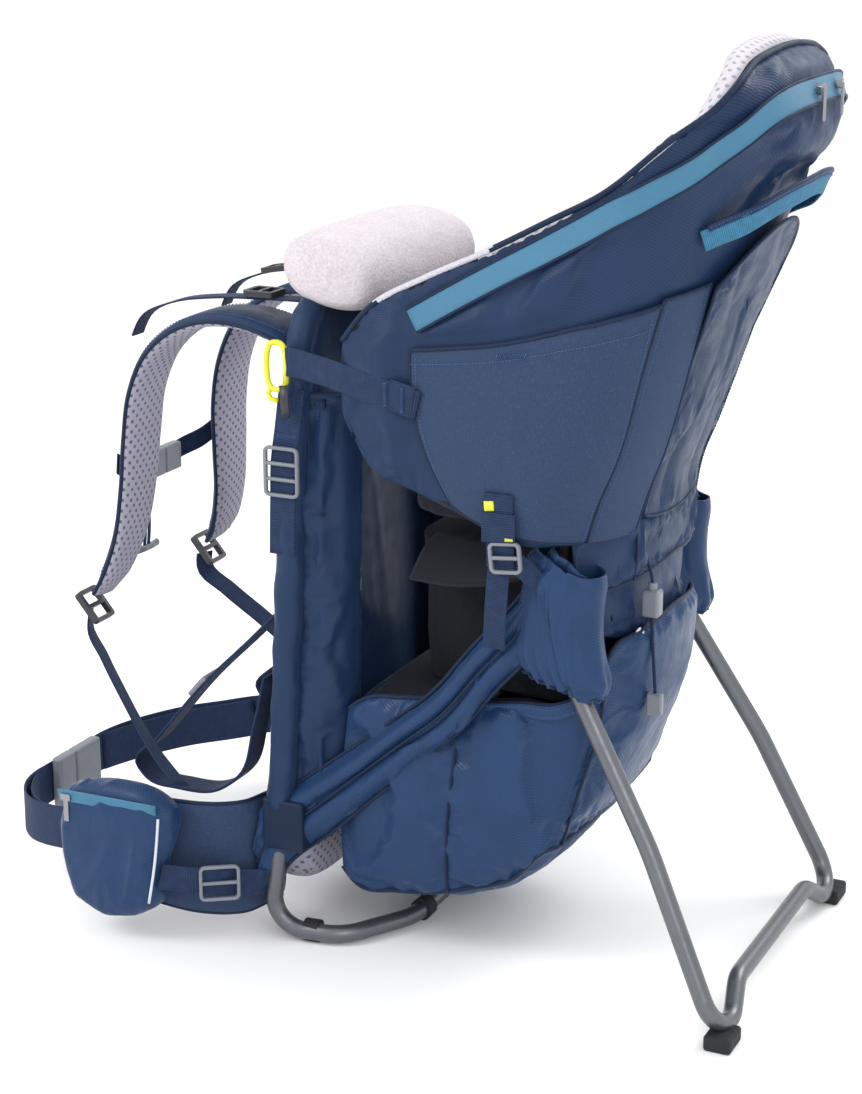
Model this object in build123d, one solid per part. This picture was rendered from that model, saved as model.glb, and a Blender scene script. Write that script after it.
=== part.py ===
from build123d import *
import math
import os

# Child carrier backpack standing on its own base loop and kickstand.
# Millimetres. +Z up, the wearer faces -Y, +X is the wearer's left.
# The origin is on the floor, at the middle of the footprint of the whole object.

# ---- driving dimensions -------------------------------------------------------------
TUBE_OD = 16.0
TUBE_WALL = 1.6
TUBE_R = TUBE_OD / 2
CLEAR = 0.3                  # gap between parts that only lie beside each other
WEB_W = 25.0                 # webbing width
WEB_T = 2.0                  # webbing thickness
BELT_W = 42.0                # hip belt webbing
FABRIC = 4.0                 # padded fabric wall

LOOP_Z = 10.5                # centre of the base loop above the floor
FRAME_FOOT = (138, -66, 104.3)     # where the uprights plug onto the base loop
FRAME_TOP = (118, -48, 582)        # corner of the upright frame
FRAME_CORNER_R = 45
JOINT_GAP = 1.5              # between the uprights and the base loop, inside the clamps

PIVOT = (130, 189, 330)      # centre of the left kickstand joint
PIN_R = 5.0
LUG_R = 15.0
RUNNING = 0.06               # radial clearance of the kickstand joint

WING_X = 150.0               # inner face of the seat's side wings
WING_T = 8.0
SEAT_REAR = 90.0             # depth of the rounded rear of the seat
HEADREST_T = 30.0
BAG_REAR = 62.0              # depth of the rounded rear of the storage bag
BAG_TURN = 196.0             # where the sides of the bag start to curve inwards
BAG_HALF = 118.0             # half width of the storage bag
FIN_T = 16.0
FIN_H = 108.0


# ---- helpers ------------------------------------------------------------------------
def mirrored(shape):
    return mirror(shape, about=Plane.YZ)


def pair(shape):
    """A piece and its mirror image, as one node of two solids."""
    return Compound(children=[shape.solid(), mirrored(shape).solid()])


def group(shapes):
    return Compound(children=[solid for shape in shapes for solid in shape.solids()])


def block(low, high, round_by=0.0):
    """A box between two corners, with all its edges rounded if asked."""
    size = [b - a for a, b in zip(low, high)]
    middle = [(a + b) / 2 for a, b in zip(low, high)]
    box = Pos(*middle) * Box(*size)
    if round_by:
        box = fillet(box.edges(), round_by)
    return box


def slab(outline, x_low, x_high):
    """An outline in (y, z), extruded across x."""
    face = Plane.YZ.offset(x_low) * make_face(Polyline(*outline, close=True))
    return extrude(face, amount=x_high - x_low)


def rod(point, direction, radius, length):
    """A cylinder that starts at a point and runs along a direction."""
    return extrude(Plane(origin=point, z_dir=direction) * Circle(radius), amount=length)


def both_sides(points):
    """A route on the left side, carried over the middle to its mirror image."""
    return list(points) + [(-x, y, z) for x, y, z in reversed(points)]


def swept(points, radii, outer, inner=0.0):
    """A round tube or rod along straight runs joined by tangent arcs."""
    path = FilletPolyline(*points, radius=radii)
    section = Circle(outer)
    if inner:
        section = section - Circle(inner)
    return sweep(Plane(origin=path @ 0, z_dir=path % 0) * section, path=path)


def ribbon(points, widths, thickness, side=(1, 0, 0)):
    """A strap or a flat pad: rectangles across a route, joined by ruled faces."""
    route = [Vector(*p) for p in points]
    if not isinstance(widths, (list, tuple)):
        widths = [widths] * len(route)
    sections = []
    for i, point in enumerate(route):
        along = (route[min(i + 1, len(route) - 1)] - route[max(i - 1, 0)]).normalized()
        across = Vector(*side) - along * along.dot(Vector(*side))
        plane = Plane(origin=point, x_dir=across, z_dir=along)
        sections.append(plane * Rectangle(widths[i], thickness))
    return loft(sections, ruled=True)


def ladder_lock(centre, normal, up, width, height, depth, bars=1):
    """A buckle: a rounded ring with cross bars that the webbing threads through."""
    ring = RectangleRounded(width, height, 4)
    slot = (height - 8 - 4 * bars) / (bars + 1)
    for i in range(bars + 1):
        offset = -height / 2 + 4 + slot / 2 + i * (slot + 4)
        ring = ring - Pos(0, offset) * Rectangle(width - 8, slot)
    plane = Plane(origin=centre, x_dir=Vector(*up).cross(Vector(*normal)), z_dir=normal)
    return extrude(plane * ring, amount=depth)


# ---- frame --------------------------------------------------------------------------
def base_loop_route():
    return both_sides([FRAME_FOOT, (140, -76, LOOP_Z), (130, -8, LOOP_Z), (64, 33, LOOP_Z)])


BASE_RADII = [30, 40, 60, 60, 40, 30]


def base_loop(inner=TUBE_R - TUBE_WALL):
    return swept(base_loop_route(), BASE_RADII, TUBE_R, inner)


def frame_hoop(inner=TUBE_R - TUBE_WALL):
    """The uprights and the bar that joins them at the top."""
    foot = Vector(*FRAME_FOOT) + (Vector(*FRAME_TOP) - Vector(*FRAME_FOOT)).normalized() * JOINT_GAP
    return swept(both_sides([tuple(foot), FRAME_TOP]), FRAME_CORNER_R, TUBE_R, inner)


def base_clips():
    """Rubber clips that the base loop stands on."""
    envelope = base_loop(inner=0)
    spots = [((131, -38, LOOP_Z), (-0.1, 1, 0)), ((44, 33, LOOP_Z), (1, 0, 0))]
    clips = []
    for centre, along in spots:
        start = Vector(*centre) - Vector(*along).normalized() * 7
        clip = rod(start, along, LOOP_Z, 14) - envelope
        clips += [clip, mirrored(clip)]
    return group(clips)


STRUT = [(126, -46, 124), (128, 85, 252), (110, 150, 318), (108, 193, 372), (108, 198, 450),
         (98, 245, 560), (80, 290, 668)]
STRUT_RADII = [60, 60, 60, 50, 80, 30, 30, 80, 50, 60, 60, 60]


def rear_hoop(inner=TUBE_R - TUBE_WALL):
    """The tube that runs from the uprights back past the pivots and round the backrest."""
    return swept(both_sides(STRUT), STRUT_RADII, TUBE_R, inner)


def frame_brackets():
    """Moulded clamps: hoop to upright, and hoop to kickstand pin."""
    strut = rear_hoop(inner=0)
    clamp = block((114, -79, 92), (149, -38, 140), 3) - strut - frame_hoop(inner=0) - base_loop(inner=0)
    clamp = clamp.solids().sort_by(SortBy.VOLUME)[-1]
    x, y, z = PIVOT
    hub = block((98, y - 17, z - 14), (x - TUBE_R - CLEAR, y + 17, z + 44), 4) - strut
    hub = hub - rod((90, y, z), (1, 0, 0), PIN_R, 60)
    hub = hub.solids().sort_by(SortBy.VOLUME)[-1]
    return group([clamp, mirrored(clamp), hub, mirrored(hub)])


def pivot_pins():
    x, y, z = PIVOT
    pin = rod((99, y, z), (1, 0, 0), PIN_R, 41) + rod((140, y, z), (1, 0, 0), 8, 2.6)
    return pair(pin)


# ---- kickstand ----------------------------------------------------------------------
LEG_START = (130.2, 195.2, 319.6)
KICKSTAND = [LEG_START, (131, 217, 283), (150, 292, 158), (174, 373, -11), (99, 356, 34)]
KICKSTAND_RADII = [120, 260, 27, 30, 30, 27, 260, 120]


def kickstand_tube(inner=TUBE_R - TUBE_WALL):
    return swept(both_sides(KICKSTAND), KICKSTAND_RADII, TUBE_R, inner)


def kickstand_lugs():
    """Moulded ends of the kickstand, turning on the pins."""
    x, y, z = PIVOT
    lug = rod((x - TUBE_R, y, z), (1, 0, 0), LUG_R, TUBE_OD)
    lug = lug - rod((x - 20, y, z), (1, 0, 0), PIN_R + RUNNING, 40)
    lug = lug - kickstand_tube(inner=0)
    return pair(lug.solids().sort_by(SortBy.VOLUME)[-1])


def kickstand_feet():
    """Rubber shoes under the two bends that the kickstand stands on."""
    foot = block((144, 352, 0), (176, 376, 14), 3) - kickstand_tube(inner=0)
    return pair(foot.solids().sort_by(SortBy.VOLUME)[-1])


# ---- back system and hip belt -------------------------------------------------------
def back_pads():
    back = block((-98, -82, 190), (98, -59, 508), 9)
    lumbar = block((-109, -110, 26), (109, -59, 150), 10)
    return group([back, lumbar])


def front_panel():
    return block((-104, -58, 96), (104, -18, 530), 8)


FIN = [(111, -90, 78), (146, -99, 78), (167, -128, 80), (175, -180, 84), (170, -245, 88)]


def hip_fin():
    return ribbon(FIN, [FIN_H, FIN_H, 106, 100, 88], FIN_T, side=(0, 0, 1))


def hip_pocket():
    return block((185, -258, 24), (212, -148, 148), 9)


def hip_webbing():
    """The belt's webbing, from the end of the fin round to the buckle."""
    front = BUCKLE_Y - 7.8
    points = [(169, -250.5, 86), (160, -290, 78), (138, -334, 70), (108, -366, 64), (78, -382, 61),
              (62, front, 60), (12, front, 60)]
    return pair(ribbon(points, BELT_W, WEB_T + 0.5, side=(0, 0, 1)))


BUCKLE_Y = -378.0
BUCKLE_Z = 60.0


def belt_buckle_socket():
    shell = block((-36, BUCKLE_Y - 6, BUCKLE_Z - 26), (8, BUCKLE_Y + 6, BUCKLE_Z + 26), 3)
    mouth = block((-18, BUCKLE_Y - 3.4, BUCKLE_Z - 20), (10, BUCKLE_Y + 3.4, BUCKLE_Z + 20))
    return shell - mouth


def belt_buckle_plug():
    body = block((9, BUCKLE_Y - 6, BUCKLE_Z - 26), (36, BUCKLE_Y + 6, BUCKLE_Z + 26), 3)
    tongues = [block((-12, BUCKLE_Y - 2.8, BUCKLE_Z + low), (11, BUCKLE_Y + 2.8, BUCKLE_Z + low + 9))
               for low in (-18, -4.5, 9)]
    for tongue in tongues:
        body = body + tongue
    return body


STABILISER = [(206, -146, 72), (196, -128, 70), (180, -104, 66), (164, -90, 62), (152, -62, 58)]


def stabiliser_straps():
    return pair(ribbon(STABILISER, WEB_W, WEB_T, side=(0, 0, 1)))


# ---- shoulder harness ---------------------------------------------------------------
SHOULDER = [(80, -62, 548), (80, -105, 560), (80, -145, 562), (80, -182, 549), (80, -212, 524),
            (80, -230, 488), (80, -236, 445), (84, -238, 400), (92, -244, 352), (100, -257, 315),
            (104, -268, 298)]
SHOULDER_W = [70, 68, 66, 64, 63, 62, 62, 60, 56, 50, 44]


def shoulder_strap():
    return ribbon(SHOULDER, SHOULDER_W, 13)


def load_lifter_straps():
    points = [(80, -232, 548), (80, -196, 570), (80, -150, 579), (80, -62, 583)]
    return pair(ribbon(points, 20, WEB_T))


def load_lifter_buckles():
    left = ladder_lock((80, -104, 584.2), (0, 0, 1), (0, 1, 0), 28, 30, 5)
    right = ladder_lock((-80, -176, 575.8), (0, -0.19, 0.98), (0, 0.98, 0.19), 28, 30, 5)
    return group([left, right])


def lower_shoulder_straps():
    points = [(104, -288, 262), (128, -238, 212), (150, -188, 166), (166, -152, 146)]
    return pair(ribbon(points, 20, WEB_T))


def lower_shoulder_buckles():
    return pair(ladder_lock((104, -276, 284), (0, -0.6, -0.5), (0, -0.5, 0.6), 30, 34, 6))


STERNUM_Y = -262.0
STERNUM_Z = 400.0


def sternum_webbing():
    """Both halves of the sternum strap, hung from the shoulder straps' outer faces."""
    front = STERNUM_Y - 6.5
    points = [(98, -252, 418), (66, -258, 409), (46, front, 402), (8, front, STERNUM_Z)]
    return pair(ribbon(points, 20, WEB_T, side=(0, 0, 1)))


def sternum_socket():
    low = (-23.7, STERNUM_Y - 5, STERNUM_Z - 13)
    shell = block(low, (4, STERNUM_Y + 5, STERNUM_Z + 13), 2)
    mouth = block((-12, STERNUM_Y - 2.6, STERNUM_Z - 10), (6, STERNUM_Y + 2.6, STERNUM_Z + 10))
    return shell - mouth


def sternum_plug():
    body = block((4.6, STERNUM_Y - 5, STERNUM_Z - 13), (23.7, STERNUM_Y + 5, STERNUM_Z + 13), 2)
    for low in (-9, 3):
        tongue = block((-9, STERNUM_Y - 2.1, STERNUM_Z + low), (6, STERNUM_Y + 2.1, STERNUM_Z + low + 6))
        body = body + tongue
    return body


# ---- seat ---------------------------------------------------------------------------
SEAT_TURN = [(160, 418), (165, 436), (174, 468), (207, 565), (236, 653), (255, 700)]
WING = [(7, 562), (16, 569), (42, 601), (90, 625), (138, 647), (199, 679), (232, 696), (256, 706),
        *reversed(SEAT_TURN), (110, 434), (67, 446), (16, 493)]


def seat_wing():
    return slab(WING, WING_X, WING_X + WING_T)


def crescent(turn, height, half_width, depth, wall):
    """A level half ring, the plan of the rounded rear of the seat."""
    ring = Ellipse(half_width, depth) - Ellipse(half_width - wall, depth - wall)
    behind = Pos(0, depth / 2) * Rectangle(3 * half_width, depth)
    return Pos(0, turn + CLEAR, height) * (ring & behind)


def seat_back():
    half = WING_X + WING_T
    plans = [crescent(y, z, half, SEAT_REAR, WING_T) for y, z in SEAT_TURN[1:]]
    return loft(plans, ruled=True)


def rear_cuff():
    top = SEAT_TURN[1][1] - CLEAR
    plans = [crescent(163, z, WING_X - CLEAR, SEAT_REAR - WING_T / 2, WING_T) for z in (384, top)]
    return loft(plans, ruled=True)


HEADREST = [(253, 700), (276, 741), (277, 768), (270, 786), (252, 806)]
HEADREST_FRONT = [(250, 690), (258, 704), (272, 720), (298, 747), (322, 766), (334, 790), (343, 810),
                  (380, 810), (380, 690)]


def headrest():
    """The thicker top of the back, cut along the rising rim of the seat."""
    half = WING_X + WING_T - 3
    plans = [crescent(y, z + CLEAR, half, SEAT_REAR - 3, HEADREST_T) for y, z in HEADREST]
    return loft(plans, ruled=True) & slab(HEADREST_FRONT, -half, half)


def chin_pad():
    return block((-104, -78, 593), (104, 30, 648), 18)


def seat_cushion():
    return block((-94, 25, 400), (94, 200, 425), 8)


def child_harness():
    strap = ribbon([(46, 292, 620), (45, 260, 520), (24, 236, 488)], WEB_W, WEB_T)
    return pair(strap)


HARNESS_BUTTON_R = 7.0


def harness_buckle():
    shell = block((-24, 222, 444), (24, 234, 486), 3)
    return shell - rod((0, 216, 465), (0, 1, 0), HARNESS_BUTTON_R + 0.15, 10)


def harness_button():
    return rod((0, 219, 465), (0, 1, 0), HARNESS_BUTTON_R, 4)


ZIP = [(160.2, 82, 592), (160.5, 262, 694), (149, 308, 724), (123, 343, 752), (77, 363, 772), (26, 370, 777),
       (2, 371, 777)]
SLIDER_AT = (26, 370, 777)


def rim_zips():
    return pair(ribbon(ZIP, 24, 1.6, side=(0, 0, 1)))


def rim_zip_slider():
    """A zip slider with its pull tab, lying on the tape beside the middle of the back."""
    along = (Vector(*ZIP[4]) - Vector(*ZIP[5])).normalized()
    outward = Vector(0, 0, 1).cross(along).normalized()
    start = Vector(*SLIDER_AT) + outward * 1.4
    body = Plane(origin=start, x_dir=along, z_dir=outward) * RectangleRounded(11, 8, 2)
    hang = start + outward * 3.2 - Vector(0, 0, 12)
    pull = Plane(origin=hang, x_dir=(0, 0, 1), z_dir=outward) * RectangleRounded(26, 6, 2)
    return extrude(body, amount=4) + extrude(pull, amount=1.8)


# ---- straps and hooks on the sides --------------------------------------------------
def side_entry_straps():
    points = [(160.2, 72, 526), (160.2, 0, 537), (148, -24, 540), (140.5, -46, 541)]
    return pair(ribbon(points, 26, WEB_T, side=(0, 0, 1)))


HOOK_AXIS = (139, -52, 536)


def entry_hook():
    """The hook that closes the side entry: a tall ring with a nose at its free end."""
    ring = block((136.5, -72, 514), (141.5, -49, 558), 2)
    return ring - block((130, -66.5, 520), (150, -54.5, 552))


def upright_straps():
    points = [(131.5, -52, 508), (134, -56, 440), (137, -58, 372)]
    return pair(ribbon(points, WEB_W, WEB_T, side=(0, 1, 0)))


def thigh_straps():
    """The webbing that closes the leg opening, with its hanging tail."""
    points = [(160.2, 160, 446), (160.2, 160, 412), (158, 157, 385), (154, 152, 322)]
    lower = [(155, 174, 392), (150.5, 196, 372)]
    upper_strap = ribbon(points, WEB_W, WEB_T, side=(0, 1, 0))
    lower_strap = ribbon(lower, 20, WEB_T, side=(0, 0.6, 0.8))
    return group([upper_strap, mirrored(upper_strap), lower_strap, mirrored(lower_strap)])


def ladder_locks():
    """The grey ladder-lock buckles of the uprights, the thigh straps and the hip stabilisers."""
    upright = ladder_lock((135.6, -57, 443), (1, 0, 0.03), (0, 0, 1), 32, 42, 4.5, bars=2)
    thigh = ladder_lock((161.6, 160, 402), (1, 0, 0), (0, 0, 1), 32, 28, 5)
    hip = ladder_lock((182.5, -102, 66.5), (0.83, 0.56, 0), (0, 0, 1), 34, 32, 5)
    locks = [upright, thigh, hip]
    return group(locks + [mirrored(lock) for lock in locks])


def stirrup():
    """A foot sling of webbing, hung from the side of the back panel."""
    points = [(114, -71, 310), (114, -150, 230), (114, -222, 146), (114, -180, 126), (114, -128, 134),
              (114, -98, 196), (114, -84, 250)]
    path = FilletPolyline(*points, radius=[60, 12, 25, 25, 60])
    section = Plane(origin=path @ 0, x_dir=(1, 0, 0), z_dir=path % 0) * Rectangle(24, 3)
    return sweep(section, path=path)


# ---- storage bag and its fabric -----------------------------------------------------
BAG = [(-13, 74), (3, 57), (78, 62), (145, 85), (199, 128), (221, 165), (240, 210), (256, 250), (258, 326),
       (228, 326), (222, 272), (150, 262), (12, 240), (-12, 126)]
BAG_INSIDE = [(-9, 78), (5, 61.5), (77, 66.5), (143, 89), (195, 131), (217, 167), (236, 212), (251.5, 251),
              (253.5, 400), (16, 400), (16, 240), (-8, 126)]


def bag_block(outline, half, rear):
    """A side outline as wide as the bag, with a rounded rear in plan."""
    plan = Pos(0, BAG_TURN - 150) * Rectangle(2 * half, 300) + Pos(0, BAG_TURN) * Ellipse(half, rear)
    return slab(outline, -half, half) & extrude(plan, amount=420)


def storage_bag():
    inside = bag_block(BAG_INSIDE, BAG_HALF - FABRIC, BAG_REAR - FABRIC)
    return bag_block(BAG, BAG_HALF, BAG_REAR) - inside


def side_bands():
    """The fabric bands over the sloping part of the rear hoop."""
    outline = [(-37, 98), (-14, 117), (56, 187), (132, 264), (152, 290), (152, 345), (94, 285), (-2, 196),
               (-37, 160)]
    return pair(slab(outline, 137, 141))


def leg_sleeves():
    """Fabric covers over the kickstand joints, open below so that the legs can swing."""
    x, y, z = PIVOT
    low_z, high_z = z - 38, z + 52
    outer = block((x - TUBE_R + 0.5, y - 30, low_z), (x + 17, y + 50, high_z))
    inside = block((x - 20, y - 27, low_z - 5), (x + 14.5, y + 47, high_z + 5))
    return pair(outer - inside)


def haul_loop():
    left = [(108, 318, 664), (92, 336, 677), (60, 355, 690), (25, 365, 697)]
    return ribbon(both_sides(left), WEB_W, 3, side=(0, 0.37, 0.93))


# ---- drawcord -----------------------------------------------------------------------
CORD_D = 3.0
GROMMET_TURN = math.radians(35)
CORD_LOCK = (58, 255, 346)
CORD_ROUTE = [(58, 255, 332), (58.6, 256.2, 309), (58.2, 258.4, 286), (58, 260, 263)]


def cord_radii():
    """Each corner's radius: 0.45 of its shorter run, over the tangent of half its turn."""
    points = [Vector(*p) for p in CORD_ROUTE]
    radii = []
    for before, corner, after in zip(points, points[1:], points[2:]):
        turn = (corner - before).get_angle(after - corner)
        run = min((corner - before).length, (after - corner).length)
        radii.append(0.45 * run / math.tan(math.radians(turn / 2)))
    return radii


def drawcord():
    return swept(CORD_ROUTE, cord_radii(), CORD_D / 2)


def cord_lock_body():
    x, y, z = CORD_LOCK
    shell = block((x - 7, y - 8, z - 14), (x + 7, y + 8, z + 10), 3)
    return shell - rod((x, y, z + 2), (0, 0, 1), 4.15, 20)


def cord_lock_button():
    x, y, z = CORD_LOCK
    return rod((x, y, z + 7), (0, 0, 1), 4.0, 9)


def cord_end():
    x, y, z = CORD_ROUTE[-1]
    return block((x - 4, y - 7, z - 20), (x + 4, y + 7, z), 2)


def grommet():
    """A ring in the rounded rear of the bag, facing out from it."""
    x, y = BAG_HALF * math.sin(GROMMET_TURN), BAG_REAR * math.cos(GROMMET_TURN)
    outward = Vector(x / BAG_HALF ** 2, y / BAG_REAR ** 2, 0).normalized()
    centre = Vector(x, BAG_TURN + y, 318) + outward * 0.6
    return rod(centre, outward, 6, 1.2) - rod(centre - outward, outward, 3.2, 5)


def pocket_zip_slider():
    x = 212 + CLEAR
    body = block((x, -250, 133), (x + 3, -240, 139))
    pull = block((x, -248, 112), (x + 1.6, -243, 133.5))
    return body + pull


# ---- output -------------------------------------------------------------------------
def all_nodes():
    nodes = {
        "frame_hoop": frame_hoop(),
        "base_loop": base_loop(),
        "base_clips": base_clips(),
        "rear_hoop": rear_hoop(),
        "frame_brackets": frame_brackets(),
        "pivot_pins": pivot_pins(),
        "kickstand_tube": kickstand_tube(),
        "kickstand_lugs": kickstand_lugs(),
        "kickstand_feet": kickstand_feet(),
        "back_pads": back_pads(),
        "front_panel": front_panel(),
        "hip_webbing": hip_webbing(),
        "belt_buckle_socket": belt_buckle_socket(),
        "belt_buckle_plug": belt_buckle_plug(),
        "stabiliser_straps": stabiliser_straps(),
        "load_lifter_straps": load_lifter_straps(),
        "load_lifter_buckles": load_lifter_buckles(),
        "lower_shoulder_straps": lower_shoulder_straps(),
        "lower_shoulder_buckles": lower_shoulder_buckles(),
        "sternum_webbing": sternum_webbing(),
        "sternum_socket": sternum_socket(),
        "sternum_plug": sternum_plug(),
        "seat_back": seat_back(),
        "rear_cuff": rear_cuff(),
        "headrest": headrest(),
        "chin_pad": chin_pad(),
        "seat_cushion": seat_cushion(),
        "child_harness": child_harness(),
        "harness_buckle": harness_buckle(),
        "harness_button": harness_button(),
        "rim_zips": rim_zips(),
        "side_entry_straps": side_entry_straps(),
        "upright_straps": upright_straps(),
        "thigh_straps": thigh_straps(),
        "ladder_locks": ladder_locks(),
        "storage_bag": storage_bag(),
        "side_bands": side_bands(),
        "leg_sleeves": leg_sleeves(),
        "haul_loop": haul_loop(),
        "drawcord": drawcord(),
        "cord_lock_body": cord_lock_body(),
        "cord_lock_button": cord_lock_button(),
        "cord_end": cord_end(),
        "grommet": grommet(),
    }
    handed = {
        "hip_fin": hip_fin(),
        "hip_pocket": hip_pocket(),
        "shoulder_strap": shoulder_strap(),
        "seat_wing": seat_wing(),
        "entry_hook": entry_hook(),
        "stirrup": stirrup(),
        "rim_zip_slider": rim_zip_slider(),
        "pocket_zip_slider": pocket_zip_slider(),
    }
    for name, shape in handed.items():
        nodes[name + "_left"] = shape
        nodes[name + "_right"] = mirrored(shape)
    return nodes


os.makedirs("parts", exist_ok=True)
for name, shape in all_nodes().items():
    export_step(shape, f"parts/{name}.step")
print("cord radii", [round(r) for r in cord_radii()])
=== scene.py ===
import math

import bmesh
import bpy
import numpy as np
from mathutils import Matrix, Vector, noise
from mathutils.bvhtree import BVHTree
from mathutils.kdtree import KDTree


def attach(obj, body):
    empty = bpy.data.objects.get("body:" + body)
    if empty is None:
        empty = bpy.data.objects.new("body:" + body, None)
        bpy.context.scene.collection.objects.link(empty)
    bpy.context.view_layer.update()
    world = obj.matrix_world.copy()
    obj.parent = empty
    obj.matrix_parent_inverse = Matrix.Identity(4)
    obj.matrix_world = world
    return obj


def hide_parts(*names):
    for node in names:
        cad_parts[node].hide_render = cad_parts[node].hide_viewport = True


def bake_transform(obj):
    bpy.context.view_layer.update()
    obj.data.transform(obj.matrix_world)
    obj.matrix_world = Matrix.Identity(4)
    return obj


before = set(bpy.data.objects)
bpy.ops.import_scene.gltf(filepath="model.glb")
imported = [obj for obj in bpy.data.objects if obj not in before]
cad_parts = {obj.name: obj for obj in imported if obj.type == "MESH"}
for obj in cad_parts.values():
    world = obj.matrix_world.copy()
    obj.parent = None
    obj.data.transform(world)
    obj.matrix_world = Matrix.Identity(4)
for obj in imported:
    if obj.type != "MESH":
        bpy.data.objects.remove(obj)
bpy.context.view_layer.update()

# A child carrier backpack, standing open. Lists of places are in millimetres in the
# frame's axes: +Z up, the wearer faces -Y, +X is the wearer's left.
MM = 0.001
SIDES = ((1, "left"), (-1, "right"))


# ---- curves and surfaces ------------------------------------------------------------
def running(steps):
    """Distances from the start, from the lengths of the steps between."""
    return np.concatenate([[0], np.cumsum(steps)])


def smooth_line(points, count):
    """Points evenly spaced in parameter along a smooth curve through the given points."""
    p = np.asarray(points, float)
    if len(p) == 2:
        return p[0] + (p[1] - p[0]) * np.linspace(0, 1, count)[:, None]
    gaps = np.maximum(np.linalg.norm(np.diff(p, axis=0), axis=1), 1e-6)
    t = running(gaps)
    slope = np.diff(p, axis=0) / gaps[:, None]
    inner = (slope[:-1] * gaps[1:, None] + slope[1:] * gaps[:-1, None]) / (gaps[:-1] + gaps[1:])[:, None]
    tangent = np.vstack([slope[:1] * 1.5 - inner[:1] * 0.5, inner, slope[-1:] * 1.5 - inner[-1:] * 0.5])
    s = np.linspace(0, t[-1], count)
    i = np.clip(np.searchsorted(t, s, side="right") - 1, 0, len(gaps) - 1)
    h = gaps[i][:, None]
    u = ((s - t[i]) / gaps[i])[:, None]
    return ((2 * u**3 - 3 * u**2 + 1) * p[i] + (u**3 - 2 * u**2 + u) * h * tangent[i]
            + (3 * u**2 - 2 * u**3) * p[i + 1] + (u**3 - u**2) * h * tangent[i + 1])


def surface(rows, across, along):
    """A fine grid through rows of control points: (along, across, 3) in millimetres."""
    fine = np.array([smooth_line(row, across) for row in rows])
    return np.stack([smooth_line(fine[:, k], along) for k in range(across)], axis=1)


def with_mirror(rows):
    """Half rows that end on the middle plane, carried over to the other side."""
    return [list(row) + [(-x, y, z) for x, y, z in reversed(row[:-1])] for row in rows]


def grid_normals(grid):
    du = np.gradient(grid, axis=1)
    dv = np.gradient(grid, axis=0)
    n = np.cross(du, dv)
    return n / np.maximum(np.linalg.norm(n, axis=2, keepdims=True), 1e-9)


def arc_lengths(grid):
    across = np.linalg.norm(np.diff(grid, axis=1), axis=2).mean(0)
    along = np.linalg.norm(np.diff(grid, axis=0), axis=2).mean(1)
    return running(across), running(along)


def grid_uv(mesh, u, v):
    """UVs for a mesh whose vertices run along u first and then along v."""
    layer = mesh.uv_layers.new(name="UVMap")
    index = np.zeros(len(mesh.loops), np.int32)
    mesh.loops.foreach_get("vertex_index", index)
    layer.data.foreach_set("uv", np.stack([u[index % len(u)], v[index // len(u)]], axis=1).ravel())


def grid_object(name, grid, facing=None, side=1):
    """A mesh over a grid in millimetres, with UVs in metres. facing is the way it looks."""
    grid = np.array(grid, float) * MM
    flip = False
    if facing is not None:
        flip = float((grid_normals(grid) * np.array(facing)).sum()) < 0
    grid[:, :, 0] *= side
    flip ^= side < 0
    rows, cols = grid.shape[:2]
    faces = []
    for r in range(rows - 1):
        for c in range(cols - 1):
            ring = [r * cols + c, r * cols + c + 1, (r + 1) * cols + c + 1, (r + 1) * cols + c]
            faces.append(ring[::-1] if flip else ring)
    mesh = bpy.data.meshes.new(name)
    mesh.from_pydata(grid.reshape(-1, 3).tolist(), [], faces)
    grid_uv(mesh, *arc_lengths(grid))
    return add_object(name, mesh)


def add_object(name, mesh):
    obj = bpy.data.objects.new(name, mesh)
    bpy.context.scene.collection.objects.link(obj)
    mesh.shade_smooth()
    return obj


def apply_modifiers(obj):
    """Keeps the evaluated mesh as the object's own."""
    graph = bpy.context.evaluated_depsgraph_get()
    mesh = bpy.data.meshes.new_from_object(obj.evaluated_get(graph), preserve_all_data_layers=True,
                                           depsgraph=graph)
    obj.modifiers.clear()
    obj.data = mesh
    return obj


def thicken(obj, thickness, offset=-1.0):
    """Gives a sheet its thickness in millimetres. Offset -1 grows it inwards."""
    solid = obj.modifiers.new("thickness", "SOLIDIFY")
    solid.thickness = thickness * MM
    solid.offset = offset
    solid.use_even_offset = False
    return apply_modifiers(obj)


def vertex_array(obj):
    co = np.zeros(len(obj.data.vertices) * 3)
    obj.data.vertices.foreach_get("co", co)
    return co.reshape(-1, 3)


def set_vertices(obj, co):
    obj.data.vertices.foreach_set("co", np.asarray(co, np.float32).ravel())
    obj.data.update()


def box_uv(obj):
    """UVs in metres from the face's main direction, for pieces that have none."""
    mesh = obj.data
    co = vertex_array(obj)
    layer = mesh.uv_layers.get("UVMap") or mesh.uv_layers.new(name="UVMap")
    uv = np.zeros((len(mesh.loops), 2))
    axes = {0: (1, 2), 1: (0, 2), 2: (0, 1)}
    for poly in mesh.polygons:
        a, b = axes[int(np.argmax(np.abs(poly.normal)))]
        for loop in poly.loop_indices:
            p = co[mesh.loops[loop].vertex_index]
            uv[loop] = p[a], p[b]
    layer.data.foreach_set("uv", uv.ravel())


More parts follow.
